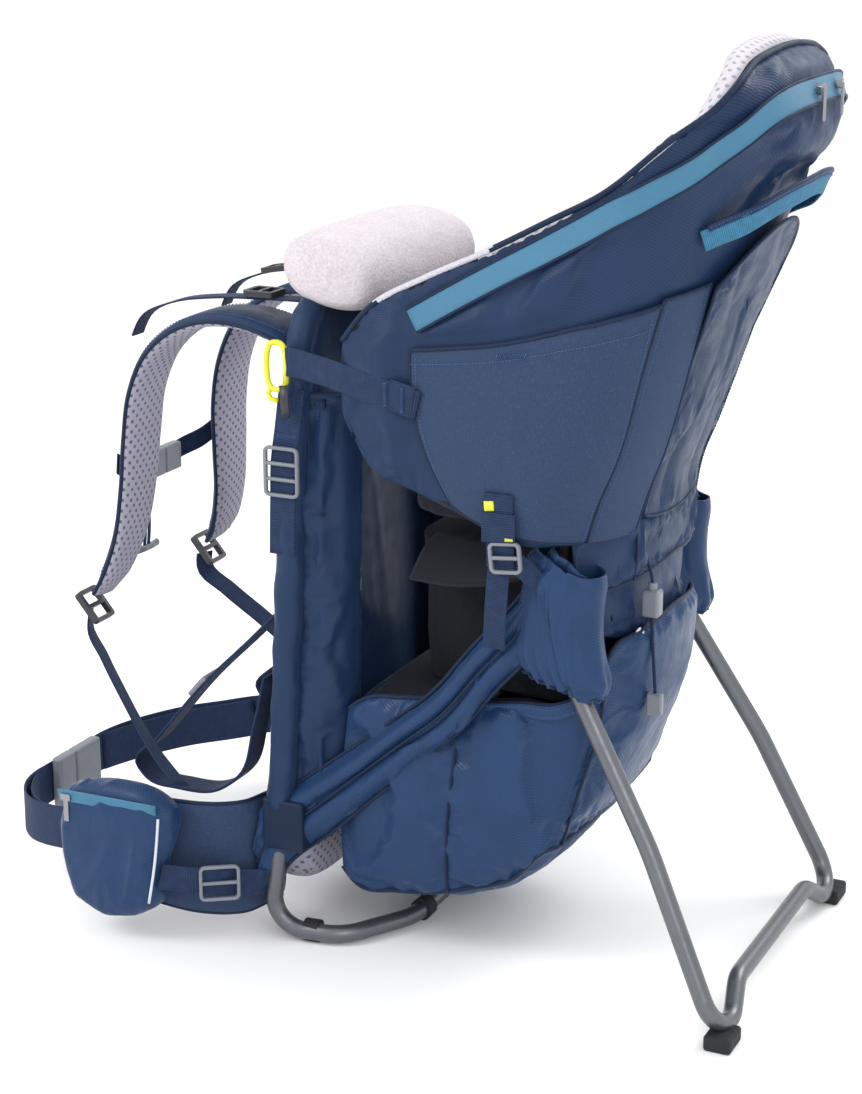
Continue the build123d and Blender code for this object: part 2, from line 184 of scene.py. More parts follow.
def folds(points, along, spacing, depth, seed=0, stretch=5.0, sharp=1.6):
    """Creases as heights in millimetres: long in one direction, close together across it."""
    along = np.array(along, float) / np.linalg.norm(along)
    heights = np.zeros(len(points))
    for k, p in enumerate(points):
        lengthwise = float(np.dot(p, along))
        rest = (p - lengthwise * along) / spacing + along * (lengthwise / (spacing * stretch))
        bend = noise.noise(Vector(rest * 0.6) + Vector((seed * 3.1, 7.7, 1.3)))
        value = noise.noise(Vector(rest + bend * 0.7) + Vector((seed * 5.3, 2.1, 9.9)))
        heights[k] = depth * (1 - abs(value) * 2) ** sharp if abs(value) < 0.5 else 0
    return heights


def crease_grid(grid, along, spacing, depth, seed=0, fade=4, stretch=5.0):
    """Pushes a grid's points along its normals, fading out at its edges."""
    rows, cols = grid.shape[:2]
    h = folds(grid.reshape(-1, 3), along, spacing, depth, seed, stretch).reshape(rows, cols)
    r = np.minimum(np.arange(rows), np.arange(rows)[::-1])
    c = np.minimum(np.arange(cols), np.arange(cols)[::-1])
    h *= np.clip(r / fade, 0, 1)[:, None] * np.clip(c / fade, 0, 1)[None, :]
    return grid + grid_normals(grid) * h[:, :, None]


def crease(obj, along, spacing, depth, seed, stretch=2.0, beyond=-1.0):
    """Raises creases along a piece's own normals, where it is beyond a distance from the middle plane."""
    co = vertex_array(obj)
    normals = np.array([v.normal for v in obj.data.vertices])
    lift = folds(co / MM, along, spacing, depth, seed, stretch) * (np.abs(co[:, 0]) > beyond)
    set_vertices(obj, co + normals * lift[:, None] * MM)


# ---- tubes, straps and seams --------------------------------------------------------
def frames_along(line, side=None):
    """A tangent, a side and an up direction at each point of a line."""
    tangent = np.gradient(line, axis=0)
    tangent /= np.maximum(np.linalg.norm(tangent, axis=1, keepdims=True), 1e-9)
    current = np.array(side if side is not None else (0.123, 0.456, 0.881), float)
    sides = []
    for k, t in enumerate(tangent):
        if side is not None and np.ndim(side) == 2:
            current = np.array(side[k], float)
        elif side is not None:
            current = np.array(side, float)
        current = current - t * np.dot(current, t)
        current /= max(np.linalg.norm(current), 1e-9)
        sides.append(current)
    sides = np.array(sides)
    return tangent, sides, np.cross(sides, tangent)


def face_outwards(mesh, weld=None):
    """Turns a mesh's faces outwards, after welding vertices that are closer than weld metres."""
    work = bmesh.new()
    work.from_mesh(mesh)
    if weld:
        bmesh.ops.remove_doubles(work, verts=work.verts, dist=weld)
    bmesh.ops.recalc_face_normals(work, faces=work.faces)
    work.to_mesh(mesh)
    work.free()


def sweep(name, line, profile, side=None, scale=None, closed=False):
    """A closed profile (across, up) carried along a line, in millimetres, with its ends shut."""
    line = np.asarray(line, float)
    _, sides, ups = frames_along(line, side)
    profile = np.asarray(profile, float)
    scale = np.ones((len(line), 2)) if scale is None else np.asarray(scale, float)
    rings = (line[:, None] + sides[:, None] * (profile[None, :, :1] * scale[:, None, :1])
             + ups[:, None] * (profile[None, :, 1:] * scale[:, None, 1:])) * MM
    n, m = len(line), len(profile)
    faces = []
    for i in range(n if closed else n - 1):
        for j in range(m):
            a, b = i * m + j, i * m + (j + 1) % m
            c, d = ((i + 1) % n) * m + (j + 1) % m, ((i + 1) % n) * m + j
            faces.append((a, b, c, d))
    if not closed:
        faces += [tuple(range(m))[::-1], tuple(range((n - 1) * m, n * m))]
    mesh = bpy.data.meshes.new(name)
    mesh.from_pydata(rings.reshape(-1, 3).tolist(), [], faces)
    typical = profile * np.mean(scale, axis=0)
    girth, run = (running(np.linalg.norm(np.diff(way, axis=0), axis=1)) * MM for way in (typical, line))
    grid_uv(mesh, girth, run)
    mesh.validate()
    face_outwards(mesh)
    return add_object(name, mesh)


def circle(radius, sides=10):
    turns = [k * math.tau / sides for k in range(sides)]
    return [(radius * math.cos(a), radius * math.sin(a)) for a in turns]


def oval(across, up, sides=10):
    return [(x * across, y * up) for x, y in circle(1.0, sides)]


def squared(value, power):
    """A sine or cosine raised to a power, with its sign kept: it squares off a round outline."""
    return math.copysign(abs(value) ** power, value)


def band_profile(width, thickness):
    """A flat band's section with rounded edges, finely divided across."""
    half, r = width / 2, thickness / 2
    top = [(x, r) for x in np.linspace(-half + r, half - r, 7)]
    end = [(half - r + r * math.cos(a), r * math.sin(a)) for a in (math.pi / 4, 0, -math.pi / 4)]
    low = [(x, -r) for x in np.linspace(half - r, -half + r, 7)]
    start = [(-half + r - r * math.cos(a), -r * math.sin(a)) for a in (math.pi / 4, 0, -math.pi / 4)]
    return top + end + low + start


def mirror_points(points, side):
    p = np.array(points, float)
    p[..., 0] *= side
    return p


def run_smooth(points, hand, step, fewest):
    """A smooth route on one side of the middle plane, with a point about every step."""
    route = mirror_points(points, hand)
    length = np.linalg.norm(np.diff(route, axis=0), axis=1).sum()
    return smooth_line(route, max(fewest, int(length / step)))


def strap(name, points, width, side, thickness=1.8, hand=1):
    """A length of webbing along a smooth route. side is the way its width lies."""
    line = run_smooth(points, hand, 6.0, 6)
    way = np.array(side, float)
    if way.ndim == 2:
        way = smooth_line(way, len(line))
    way = way * np.array([hand, 1, 1])
    return sweep(name, line, band_profile(width, thickness), side=way)


def tube(name, points, radius, hand=1):
    return sweep(name, run_smooth(points, hand, 5.0, 4), circle(radius))


def join(objects, name):
    """One object from several, in their order."""
    for o in bpy.context.selected_objects:
        o.select_set(False)
    for o in objects:
        o.select_set(True)
    bpy.context.view_layer.objects.active = objects[0]
    with bpy.context.temp_override(active_object=objects[0], selected_editable_objects=objects,
                                   selected_objects=objects):
        bpy.ops.object.join()
    objects[0].name = name
    objects[0].data.name = name
    return objects[0]


def stitches(name, line, normal, pitch=3.4, length=2.3, radius=0.32):
    """A row of sewing along a line in millimetres: short, slightly sunk thread lengths."""
    line = np.asarray(line, float)
    gaps = np.linalg.norm(np.diff(line, axis=0), axis=1)
    run = running(gaps)
    count = max(1, int(run[-1] / pitch))
    verts, faces = [], []
    normal = np.asarray(normal, float)
    for k in range(count):
        s = (k + 0.5) * pitch
        ends = [np.array([np.interp(s + d * length / 2, run, line[:, a]) for a in range(3)])
                for d in (-1, 1)]
        up = normal if normal.ndim == 1 else normal[min(len(line) - 1, int(np.searchsorted(run, s)))]
        up = up / np.linalg.norm(up)
        along = ends[1] - ends[0]
        across = np.cross(up, along)
        across /= max(np.linalg.norm(across), 1e-9)
        base = len(verts)
        middle = (ends[0] + ends[1]) / 2
        verts += [ends[0], ends[1]]
        for at in (ends[0] * 0.75 + middle * 0.25, ends[1] * 0.75 + middle * 0.25):
            verts += [at + across * radius, at + up * radius, at - across * radius, at - up * radius]
        for j in range(4):
            a, b = base + 2 + j, base + 2 + (j + 1) % 4
            faces += [(base, b, a), (a, b, b + 4, a + 4), (base + 1, a + 4, b + 4)]
    mesh = bpy.data.meshes.new(name)
    mesh.from_pydata((np.array(verts) * MM).tolist(), [], faces)
    return add_object(name, mesh)


def bartack(name, centre, along, across, normal, length=24.0, width=4.0):
    """A dense zigzag bar of thread that locks webbing down."""
    centre, along, across = (np.asarray(v, float) for v in (centre, along, across))
    along, across = along / np.linalg.norm(along), across / np.linalg.norm(across)
    count = int(length / 0.9)
    line = [centre + along * (k / (count - 1) - 0.5) * length
            + across * (width / 2 if k % 2 else -width / 2) for k in range(count)]
    return sweep(name, np.array(line) + np.asarray(normal, float) * 0.3, circle(0.42, 5), side=normal)


# ---- cloth --------------------------------------------------------------------------
CLOTH_MASS = 0.25
STRETCH_STIFFNESS = 12.0
BEYOND_CAP = 0.1  # the share kept of the movement past the cap


def settle(obj, pinned=None, pressure=0.0, grow=0.0, frames=20, cap=8.0, bending=0.4, sink=2.0):
    """A short cloth simulation with gravity off: fabric swells, or puckers between what pins it.

    No point moves much further than cap, or further inwards than sink, both in millimetres.
    """
    start = vertex_array(obj)
    normals = np.array([v.normal for v in obj.data.vertices])
    cloth = obj.modifiers.new("cloth", "CLOTH")
    s = cloth.settings
    s.quality = 5
    s.mass = CLOTH_MASS
    s.effector_weights.gravity = 0.0
    s.tension_stiffness = s.compression_stiffness = STRETCH_STIFFNESS
    s.shear_stiffness = STRETCH_STIFFNESS / 2
    s.bending_stiffness = bending
    s.use_pressure = pressure != 0
    s.uniform_pressure_force = pressure
    s.shrink_min = -grow
    cloth.collision_settings.use_collision = False
    cloth.point_cache.frame_start = 1
    cloth.point_cache.frame_end = frames
    if pinned is not None:
        group = obj.vertex_groups.new(name="pinned")
        group.add([int(k) for k in np.nonzero(pinned == 1.0)[0]], 1.0, "REPLACE")
        s.vertex_group_mass = "pinned"
    for number in range(1, frames + 1):
        bpy.context.scene.frame_set(number)
    graph = bpy.context.evaluated_depsgraph_get()
    moved = obj.evaluated_get(graph).data
    end = np.zeros(len(moved.vertices) * 3)
    moved.vertices.foreach_get("co", end)
    shift = end.reshape(-1, 3) - start
    reach = np.linalg.norm(shift, axis=1, keepdims=True)
    limit = cap * MM
    eased = (limit + (reach - limit) * BEYOND_CAP) / np.maximum(reach, 1e-9)
    shift *= np.where(reach > limit, eased, 1.0)
    inwards = (shift * normals).sum(1, keepdims=True)
    shift += normals * np.maximum(-sink * MM - inwards, 0)
    obj.modifiers.clear()
    obj.vertex_groups.clear()
    set_vertices(obj, start + shift)
    bpy.context.scene.frame_set(1)
    return obj


def grid_pins(grid, last_row=-1):
    """Which points of a grid a simulation holds: the ones along its four edges."""
    pins = np.zeros(grid.shape[:2])
    pins[[0, last_row]] = 1.0
    pins[:, [0, -1]] = 1.0
    return pins.ravel()


def remesh(obj, voxel):
    m = obj.modifiers.new("remesh", "REMESH")
    m.mode = "VOXEL"
    m.voxel_size = voxel * MM
    m.use_smooth_shade = True
    return apply_modifiers(obj)


def subdivide(obj):
    m = obj.modifiers.new("smooth", "SUBSURF")
    m.levels = m.render_levels = 1
    apply_modifiers(obj)
    obj.data.shade_smooth()
    return obj


def cushion(name, rings, voxel=5.0, pressure=4.0, cap=8.0, frames=20):
    """A padded closed form through rings of control points, swollen by simulation."""
    n = 48
    grid = np.array([smooth_line(list(ring) + [ring[0]], n + 1)[:-1] for ring in rings])
    rows = len(rings)
    centre_low, centre_high = grid[0].mean(0), grid[-1].mean(0)
    verts = np.vstack([grid.reshape(-1, 3), centre_low, centre_high]) * MM
    faces = [(r * n + c, r * n + (c + 1) % n, (r + 1) * n + (c + 1) % n, (r + 1) * n + c)
             for r in range(rows - 1) for c in range(n)]
    faces += [(rows * n, (c + 1) % n, c) for c in range(n)]
    faces += [(rows * n + 1, (rows - 1) * n + c, (rows - 1) * n + (c + 1) % n) for c in range(n)]
    mesh = bpy.data.meshes.new(name)
    mesh.from_pydata(verts.tolist(), [], faces)
    obj = add_object(name, mesh)
    remesh(obj, voxel)
    settle(obj, pressure=pressure, cap=cap, frames=frames)
    subdivide(obj)
    box_uv(obj)
    return obj


def rounded_ring(cx, cy, half_x, half_y, z, power=4.0, count=24):
    """A superellipse about a vertical axis."""
    ring = []
    for k in range(count):
        a = k * math.tau / count
        ring.append((cx + squared(math.cos(a), 2 / power) * half_x,
                     cy + squared(math.sin(a), 2 / power) * half_y, z))
    return ring


# ---- materials ----------------------------------------------------------------------
def srgb(*rgb):
    return tuple(v / 255 / 12.92 if v <= 10 else ((v / 255 + 0.055) / 1.055) ** 2.4 for v in rgb)


WAVE_SCALE = 0.31416  # a wave texture of this scale repeats once in a metre


class Finish:
    """A Principled material, with short calls for wiring textures into it."""

    def __init__(self, name, colour, roughness, **sockets):
        self.material = bpy.data.materials.new(name)
        self.material.use_nodes = True
        self.tree = self.material.node_tree
        self.shader = self.tree.nodes["Principled BSDF"]
        self.colour = (*colour, 1.0)
        self.shader.inputs["Base Color"].default_value = self.colour
        self.shader.inputs["Roughness"].default_value = roughness
        for socket, value in sockets.items():
            self.shader.inputs[socket.replace("_", " ")].default_value = value
        self.material.diffuse_color = self.colour

    def node(self, kind, inputs=(), **settings):
        n = self.tree.nodes.new(kind)
        for key, value in settings.items():
            setattr(n, key, value)
        for key, value in dict(inputs).items():
            if isinstance(value, bpy.types.NodeSocket):
                self.tree.links.new(value, n.inputs[key])
            else:
                n.inputs[key].default_value = value
        return n

    def place(self, uv=True, scale=(1, 1, 1), turn=0.0):
        source = self.node("ShaderNodeTexCoord").outputs["UV" if uv else "Object"]
        return self.node("ShaderNodeMapping", {"Vector": source, "Scale": scale,
                                               "Rotation": (0, 0, turn)}).outputs[0]

    def noise(self, scale, detail=2.0, uv=False, stretch=(1, 1, 1)):
        return self.node("ShaderNodeTexNoise", {"Vector": self.place(uv, stretch), "Scale": scale,
                                                "Detail": detail}).outputs["Fac"]

    def ribs(self, pitch, turn=0.0, axis="X"):
        """Even ribs, 0 to 1, with the given pitch in metres."""
        return self.node("ShaderNodeTexWave", {"Vector": self.place(turn=turn), "Scale": WAVE_SCALE / pitch},
                         bands_direction=axis).outputs["Fac"]

    def sum(self, a, b, operation="ADD"):
        return self.node("ShaderNodeMath", {0: a, 1: b}, operation=operation).outputs[0]

    def ramp(self, value, low, high, new_low=0.0, new_high=1.0):
        return self.node("ShaderNodeMapRange", {"Value": value, "From Min": low, "From Max": high,
                                                "To Min": new_low, "To Max": new_high}).outputs[0]

    def blend(self, factor, a, b):
        n = self.node("ShaderNodeMix", {"Factor": factor}, data_type="RGBA")
        for socket, value in ((n.inputs[6], a), (n.inputs[7], b)):
            if isinstance(value, bpy.types.NodeSocket):
                self.tree.links.new(value, socket)
            else:
                socket.default_value = (*value[:3], 1.0)
        return n.outputs[2]

    def tint(self, factor, other, base=None):
        """Base colour varies towards another colour by a factor."""
        colour = self.blend(factor, base if base is not None else self.colour, other)
        self.tree.links.new(colour, self.shader.inputs["Base Color"])
        return colour

    def rough(self, value):
        self.tree.links.new(value, self.shader.inputs["Roughness"])

    def bump(self, height, depth, strength=1.0, under=None):
        inputs = {"Height": height, "Distance": depth * MM, "Strength": strength}
        if under is not None:
            inputs["Normal"] = under
        normal = self.node("ShaderNodeBump", inputs).outputs[0]
        self.tree.links.new(normal, self.shader.inputs["Normal"])
        return normal


def shade(colour, factor):
    return tuple(v * factor for v in colour)


def nylon(name, colour, roughness, pitch=0.0019, turn=0.9, sheen=0.06):
    """Nylon with fine slanting ribs, a soft sheen and small puckers."""
    f = Finish(name, colour, roughness, Sheen_Weight=sheen, Sheen_Roughness=0.35, Specular_IOR_Level=0.2)
    f.shader.inputs["Sheen Tint"].default_value = (0.55, 0.7, 1.0, 1.0)
    ribs = f.ribs(pitch, turn)
    cloud = f.noise(22.0, 4.0)
    weave = f.blend(f.ramp(ribs, 0.25, 0.9), shade(colour, 0.80), shade(colour, 1.10))
    f.tint(f.ramp(cloud, 0.35, 0.7, 0.0, 0.35), shade(colour, 1.35), weave)
    f.rough(f.ramp(f.noise(60.0, 3.0), 0.3, 0.7, roughness - 0.07, roughness + 0.09))
    first = f.bump(f.noise(90.0, 4.0, stretch=(1, 1, 0.5)), 1.4, 0.5)
    f.bump(ribs, 0.16, 0.7, first)
    return f.material


def canvas_weave(name, colour, pitch=0.0015):
    """A matt plain weave with crossing yarns and a few lighter threads."""
    f = Finish(name, colour, 0.86, Sheen_Weight=0.1, Sheen_Roughness=0.5, Specular_IOR_Level=0.25)
    f.shader.inputs["Sheen Tint"].default_value = (0.6, 0.72, 1.0, 1.0)
    yarns = f.sum(f.ribs(pitch), f.ribs(pitch, axis="Y"), "MULTIPLY")
    fleck = f.noise(900.0, 1.0, uv=True, stretch=(1, 0.25, 1))
    weave = f.blend(f.ramp(yarns, 0.0, 0.7), shade(colour, 0.72), shade(colour, 1.12))
    f.tint(f.ramp(fleck, 0.55, 0.75, 0.0, 0.5), shade(colour, 1.5), weave)
    first = f.bump(f.noise(45.0, 3.0), 1.0, 0.35)
    f.bump(yarns, 0.35, 0.8, first)
    return f.material


def webbing_weave(name, colour, pitch=0.0021):
    """Woven webbing: cross ribs with a herringbone of fine yarns."""
    f = Finish(name, colour, 0.68, Sheen_Weight=0.06, Sheen_Roughness=0.4, Specular_IOR_Level=0.14)
    f.shader.inputs["Sheen Tint"].default_value = (0.6, 0.75, 1.0, 1.0)
    across = f.ribs(pitch, axis="Y")
    slant = f.ribs(0.0013, 0.8)
    height = f.sum(across, f.sum(slant, 0.6, "MULTIPLY"))
    weave = f.blend(f.ramp(height, 0.3, 1.4), shade(colour, 0.6), shade(colour, 1.3))
    f.tint(f.ramp(f.noise(140.0, 2.0), 0.4, 0.7, 0.0, 0.3), shade(colour, 1.6), weave)
    f.bump(height, 0.3, 0.8)
    return f.material


def spacer_mesh(name, colour, hole_shade, pitch=0.0052, depth=0.9):
    """Spacer mesh: a soft knit with staggered holes, which are painted darker as shade."""
    f = Finish(name, colour, 0.9, Sheen_Weight=0.1, Sheen_Roughness=0.5, Specular_IOR_Level=0.2)
    place = f.place(True, (math.pi / pitch,) * 3)
    xyz = f.node("ShaderNodeSeparateXYZ", {0: place})
    waves = [f.node("ShaderNodeMath", {0: xyz.outputs[k]}, operation="SINE").outputs[0] for k in (0, 1)]
    product = f.sum(waves[0], waves[1], "MULTIPLY")
    hole = f.ramp(product, 0.42, 0.72)
    knit = f.ribs(0.0011, 0.6)
    base = f.blend(f.ramp(knit, 0.2, 0.9), shade(colour, 0.86), shade(colour, 1.06))
    # Painted shade: the recessed holes take a darker colour.
    f.tint(hole, hole_shade, base)
    height = f.sum(f.sum(knit, 0.12, "MULTIPLY"), hole, "SUBTRACT")
    f.bump(height, depth, 0.8)
    return f.material


def fleece_pile(name, colour):
    f = Finish(name, colour, 0.95, Sheen_Weight=0.25, Sheen_Roughness=0.4, Specular_IOR_Level=0.15)
    pile = f.noise(420.0, 4.0)
    soft = f.blend(f.ramp(f.noise(40.0, 3.0), 0.3, 0.7), shade(colour, 0.86), colour)
    f.tint(f.ramp(pile, 0.35, 0.7), shade(colour, 1.15), soft)
    f.bump(pile, 1.6, 0.7)
    return f.material


def moulded(name, colour, roughness=0.42, grain=0.35, specular=0.5):
    """Moulded plastic or rubber with a fine spark-eroded grain and faint lighter patches."""
    f = Finish(name, colour, roughness, Specular_IOR_Level=specular)
    grit = f.noise(1600.0, 3.0)
    f.tint(f.ramp(f.noise(70.0, 4.0), 0.4, 0.8, 0.0, 0.5), shade(colour, 1.25))
    f.rough(f.ramp(f.noise(200.0, 4.0), 0.3, 0.75, roughness - 0.08, roughness + 0.1))
    f.bump(grit, 0.12, grain)
    return f.material


def metal(name, colour, roughness, metallic=1.0):
    """Drawn metal, with streaks along its length and slightly uneven polish."""
    f = Finish(name, colour, roughness, Metallic=metallic)
    streaks = f.noise(300.0, 4.0, stretch=(1, 1, 0.12))
    f.rough(f.ramp(streaks, 0.3, 0.75, roughness - 0.07, roughness + 0.12))
    f.tint(f.ramp(f.noise(35.0, 5.0), 0.45, 0.75, 0.0, 0.4), shade(colour, 1.22))
    f.bump(f.noise(1200.0, 2.0), 0.03, 0.3)
    return f.material


def zip_fabric(name, colour, centre, half_coil):
    """Coated zip tape: fine lengthwise lines and a dark coil cover down the middle."""
    f = Finish(name, colour, 0.5, Sheen_Weight=0.05, Sheen_Roughness=0.4, Specular_IOR_Level=0.4)
    f.shader.inputs["Sheen Tint"].default_value = (0.6, 0.9, 1.0, 1.0)
    lines = f.ribs(0.0011)
    rows = f.ribs(0.0016, axis="Y")
    base = f.blend(f.ramp(lines, 0.2, 0.9), shade(colour, 0.82), shade(colour, 1.1))
    base = f.blend(f.ramp(f.noise(30.0, 3.0), 0.4, 0.8, 0.0, 0.3), base, shade(colour, 1.3))
    xyz = f.node("ShaderNodeSeparateXYZ", {0: f.place(True)})
    away = f.sum(xyz.outputs[0], centre * MM, "SUBTRACT")
    away = f.node("ShaderNodeMath", {0: away}, operation="ABSOLUTE").outputs[0]
    coil = f.ramp(away, (half_coil + 0.25) * MM, (half_coil - 0.25) * MM)
    f.tint(coil, shade(colour, 0.09), base)
    f.bump(f.sum(lines, f.sum(rows, coil, "MULTIPLY")), 0.22, 0.7)
    return f.material


NAVY = srgb(27, 47, 78)
NAVY_SATIN = srgb(30, 55, 91)
NAVY_CANVAS = srgb(47, 64, 94)
NAVY_WEB = srgb(36, 50, 78)
TEAL = srgb(58, 112, 143)
LILAC = srgb(166, 164, 180)
PALE = srgb(203, 199, 206)

UPPER = nylon("upper_nylon", NAVY, 0.46)
LOWER = nylon("lower_satin", NAVY_SATIN, 0.38, pitch=0.0023, turn=0.95, sheen=0.09)
CANVAS = canvas_weave("side_canvas", NAVY_CANVAS)
WEBBING = webbing_weave("navy_webbing", NAVY_WEB)
TEAL_WEB = webbing_weave("teal_webbing", TEAL, 0.0017)
THREAD = moulded("blue_thread", srgb(66, 98, 148), 0.6, 0.6, 0.3)
PIPING = nylon("dark_piping", shade(NAVY, 0.6), 0.5, pitch=0.0012)
BINDING = canvas_weave("pale_binding", srgb(205, 204, 214), 0.0012)
# The third colour of each spacer mesh is painted shade in its holes.
MESH_PALE = spacer_mesh("pale_mesh", PALE, srgb(150, 150, 168), 0.0046, 0.5)
MESH_LILAC = spacer_mesh("lilac_mesh", LILAC, srgb(98, 98, 116))
FLEECE = fleece_pile("chin_fleece", srgb(198, 190, 196))
DARK = canvas_weave("black_lining", srgb(26, 28, 34), 0.0016)
GREY_PLASTIC = moulded("grey_plastic", srgb(112, 116, 125), 0.38)
DARK_PLASTIC = moulded("black_plastic", srgb(38, 40, 46), 0.42)
LIME_PLASTIC = moulded("lime_plastic", srgb(205, 205, 40), 0.35)
RUBBER = moulded("rubber", srgb(34, 35, 38), 0.72, 0.7, 0.3)
TUBE_PAINT = metal("tube_paint", srgb(104, 106, 112), 0.34, 0.75)
STEEL = metal("pin_steel", srgb(190, 192, 196), 0.28)
ZIP_METAL = metal("zip_metal", srgb(150, 150, 156), 0.3)
CORD_BRAID = webbing_weave("cord_braid", NAVY_WEB, 0.0011)
RIM_TAPE = zip_fabric("rim_zip_tape", TEAL, 10.0, 1.5)
POCKET_TAPE = zip_fabric("pocket_zip_tape", TEAL, 6.0, 1.3)
REFLECTIVE = moulded("reflective_piping", srgb(196, 202, 212), 0.3, 0.2)


# ---- pieces -------------------------------------------------------------------------
def piece(obj, material, body="pack", replaces=()):
    """Gives a finished object its material and lets it ride on its body."""
    if material is not None:
        obj.data.materials.clear()
        obj.data.materials.append(material)
    if body:
        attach(obj, body)
    if replaces:
        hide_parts(*replaces)
    return obj


def once(side, *nodes):
    """The CAD nodes that a pair of pieces replaces: the left one of the pair names them."""
    return nodes if side > 0 else ()


def two_tone(obj, first, second, test):
    """Faces for which the test on their centre and normal holds take the second material."""
    obj.data.materials.clear()
    obj.data.materials.append(first)
    obj.data.materials.append(second)
    for poly in obj.data.polygons:
        poly.material_index = int(bool(test(poly.center / MM, poly.normal)))
    return obj


def surface_tree(obj):
    graph = bpy.context.evaluated_depsgraph_get()
    return BVHTree.FromObject(obj, graph)


def mirror_left(columns):
    """Columns of the left half, ending on the middle plane, and their mirror image."""
    return columns + [[(-x, y, z) for x, y, z in column] for column in columns[-2::-1]]


def loft_columns(columns, across, along):
    """A grid through upright profiles that may have different numbers of points."""
    fine = np.array([smooth_line(column, along) for column in columns])
    return np.stack([smooth_line(fine[:, k], across) for k in range(along)], axis=0)


# The seat: straight sides, and a rear that is rounded in plan and deepest at the hood.
REAR_HEIGHTS = [380, 430, 468, 565, 653, 690, 713, 741, 768, 786, 804, 815]
REAR_PLACES = [249, 249, 264, 297, 326, 338, 350, 366, 368, 361, 343, 328]
REAR_HALF_WIDTH = 158
REAR_DEPTH = 90
REAR_POWER = 0.91
RIM_TURNS = [(79, 747), (63, 767), (46, 787), (30, 800), (14, 806), (0, 808)]


def rear(angle, z, inset=0.0):
    """A point on the rounded rear. The angle runs from 90 at the side to 0 in the middle."""
    a = math.radians(angle)
    middle = float(np.interp(z, REAR_HEIGHTS, REAR_PLACES)) - REAR_DEPTH
    x = (REAR_HALF_WIDTH - inset) * math.sin(a) ** REAR_POWER
    return (x, middle + (REAR_DEPTH - inset) * math.cos(a) ** REAR_POWER, z)


def rear_column(angle, top, low):
    return [rear(angle, z) for z in np.linspace(top, low, 12)]


SHELL = [
    [(150, 9, 565), (152, 8, 545), (153, 9, 520), (152, 11, 500), (149, 16, 490)],
    [(156, 39, 598), (159, 42, 570), (160, 42, 530), (159, 36, 490), (152, 34, 462)],
    [(158, 90, 626), (161, 92, 590), (162, 90, 545), (161, 84, 490), (152, 80, 443)],
    [(158, 140, 649), (161, 144, 615), (163, 140, 560), (161, 130, 490), (153, 118, 430)],
    [(158, 200, 680), (160, 200, 648), (161, 186, 580), (160, 160, 490), (154, 146, 420)],
    [(158, 238, 700), (159, 231, 672), (160, 205, 590), (159, 174, 490), (156, 158, 414)],
] + [rear_column(angle, top, 410) for angle, top in RIM_TURNS]


def lining_column(angle, top):
    """The padding's inner face, from its rounded top edge down to the seat."""
    crown = [(top + 2, 3), (top + 7, 16), (top + 2, 30)] if angle < 70 else [(top + 1, 2), (top - 3, 12)]
    wall = [(752, 34), (715, 26), (690, 16), (640, 10), (565, 9), (490, 9), (418, 9)]
    return [rear(angle, z, inset) for z, inset in crown + [step for step in wall if step[0] < top - 12]]


LINING = [
    [(149, 10, 565), (144, 12, 545), (144, 14, 520), (147, 17, 492)],
    [(155, 40, 597), (149, 42, 582), (150, 42, 530), (149, 38, 466)],
    [(157, 90, 626), (151, 92, 610), (152, 90, 560), (151, 86, 500), (150, 82, 446)],
    [(157, 199, 680), (151, 198, 665), (152, 188, 590), (152, 166, 490), (150, 150, 420)],
    [(156, 238, 700), (148, 234, 686), (149, 206, 600), (149, 178, 490), (148, 160, 418)],
] + [lining_column(angle, top) for angle, top in RIM_TURNS]


def seat_shell():
    grid = loft_columns(mirror_left(SHELL), 241, 84)
    shell = grid_object("seat_shell", grid, facing=(0, 1, 0.2))
    tree = surface_tree(shell)
    start = vertex_array(shell)
    settle(shell, grid_pins(grid), grow=0.035, frames=16, cap=7, bending=0.25)
    covers = [surface(POCKET, 24, 20), surface(COLUMN, 10, 20), surface(with_mirror(FLAP), 30, 30),
              smooth_line(ZIP_RUN, 60)]
    covered = np.vstack([c.reshape(-1, 3) for c in covers])
    covered = np.vstack([covered, mirror_points(covered, -1)]) * MM
    near = KDTree(len(covered))
    for k, p in enumerate(covered):
        near.insert(p, k)
    near.balance()
    away = np.array([near.find(p)[2] for p in start]) / MM
    free = np.clip((away - 9) / 14, 0.08, 1)[:, None]
    set_vertices(shell, start + (vertex_array(shell) - start) * free)
    thicken(shell, 2.6)
    piece(shell, UPPER,
          replaces=("seat_wing_left", "seat_wing_right", "seat_back", "headrest"))
    return tree


def seat_lining():
    grid = loft_columns(mirror_left(LINING), 201, 60)
    lining = grid_object("seat_lining", grid, facing=(0, -1, 0))
    thicken(lining, 2.4)
    two_tone(lining, DARK, MESH_PALE, lambda c, n: c.z > 560 + max(0.0, 230 - c.y) * 0.9)
    return piece(lining, None)


def seat_rim():
    edge = smooth_line([column[0] for column in mirror_left(SHELL)], 240)
    rim = sweep("seat_rim_binding", edge + np.array([0, 0, 1.0]), circle(2.6, 10))
    two_tone(rim, PIPING, BINDING, lambda c, n: c.y < 148 and c.z > 604)
    return piece(rim, None)


def lay(tree, points, lift):
    """Points moved onto a surface and lifted off it, and the surface's normals there."""
    flat = np.asarray(points, float).reshape(-1, 3)
    laid, normals = np.zeros_like(flat), np.zeros_like(flat)
    for k, p in enumerate(flat):
        place, normal, _, _ = tree.find_nearest(Vector(p) * MM)
        laid[k], normals[k] = place / MM, normal
    laid += normals * np.broadcast_to(np.asarray(lift, float).reshape(-1, 1), (len(flat), 1))
    return laid.reshape(np.shape(points)), normals.reshape(np.shape(points))


def patch(tree, rows, across, along, lift, bulge=0.0):
    """A fine grid that lies on a surface, fuller in its middle."""
    flat = surface(rows, across, along)
    a = np.sin(np.pi * np.linspace(0, 1, along))[:, None]
    b = np.sin(np.pi * np.linspace(0, 1, across))[None, :]
    return lay(tree, flat, (lift + bulge * np.maximum(a * b, 0) ** 0.6).ravel())


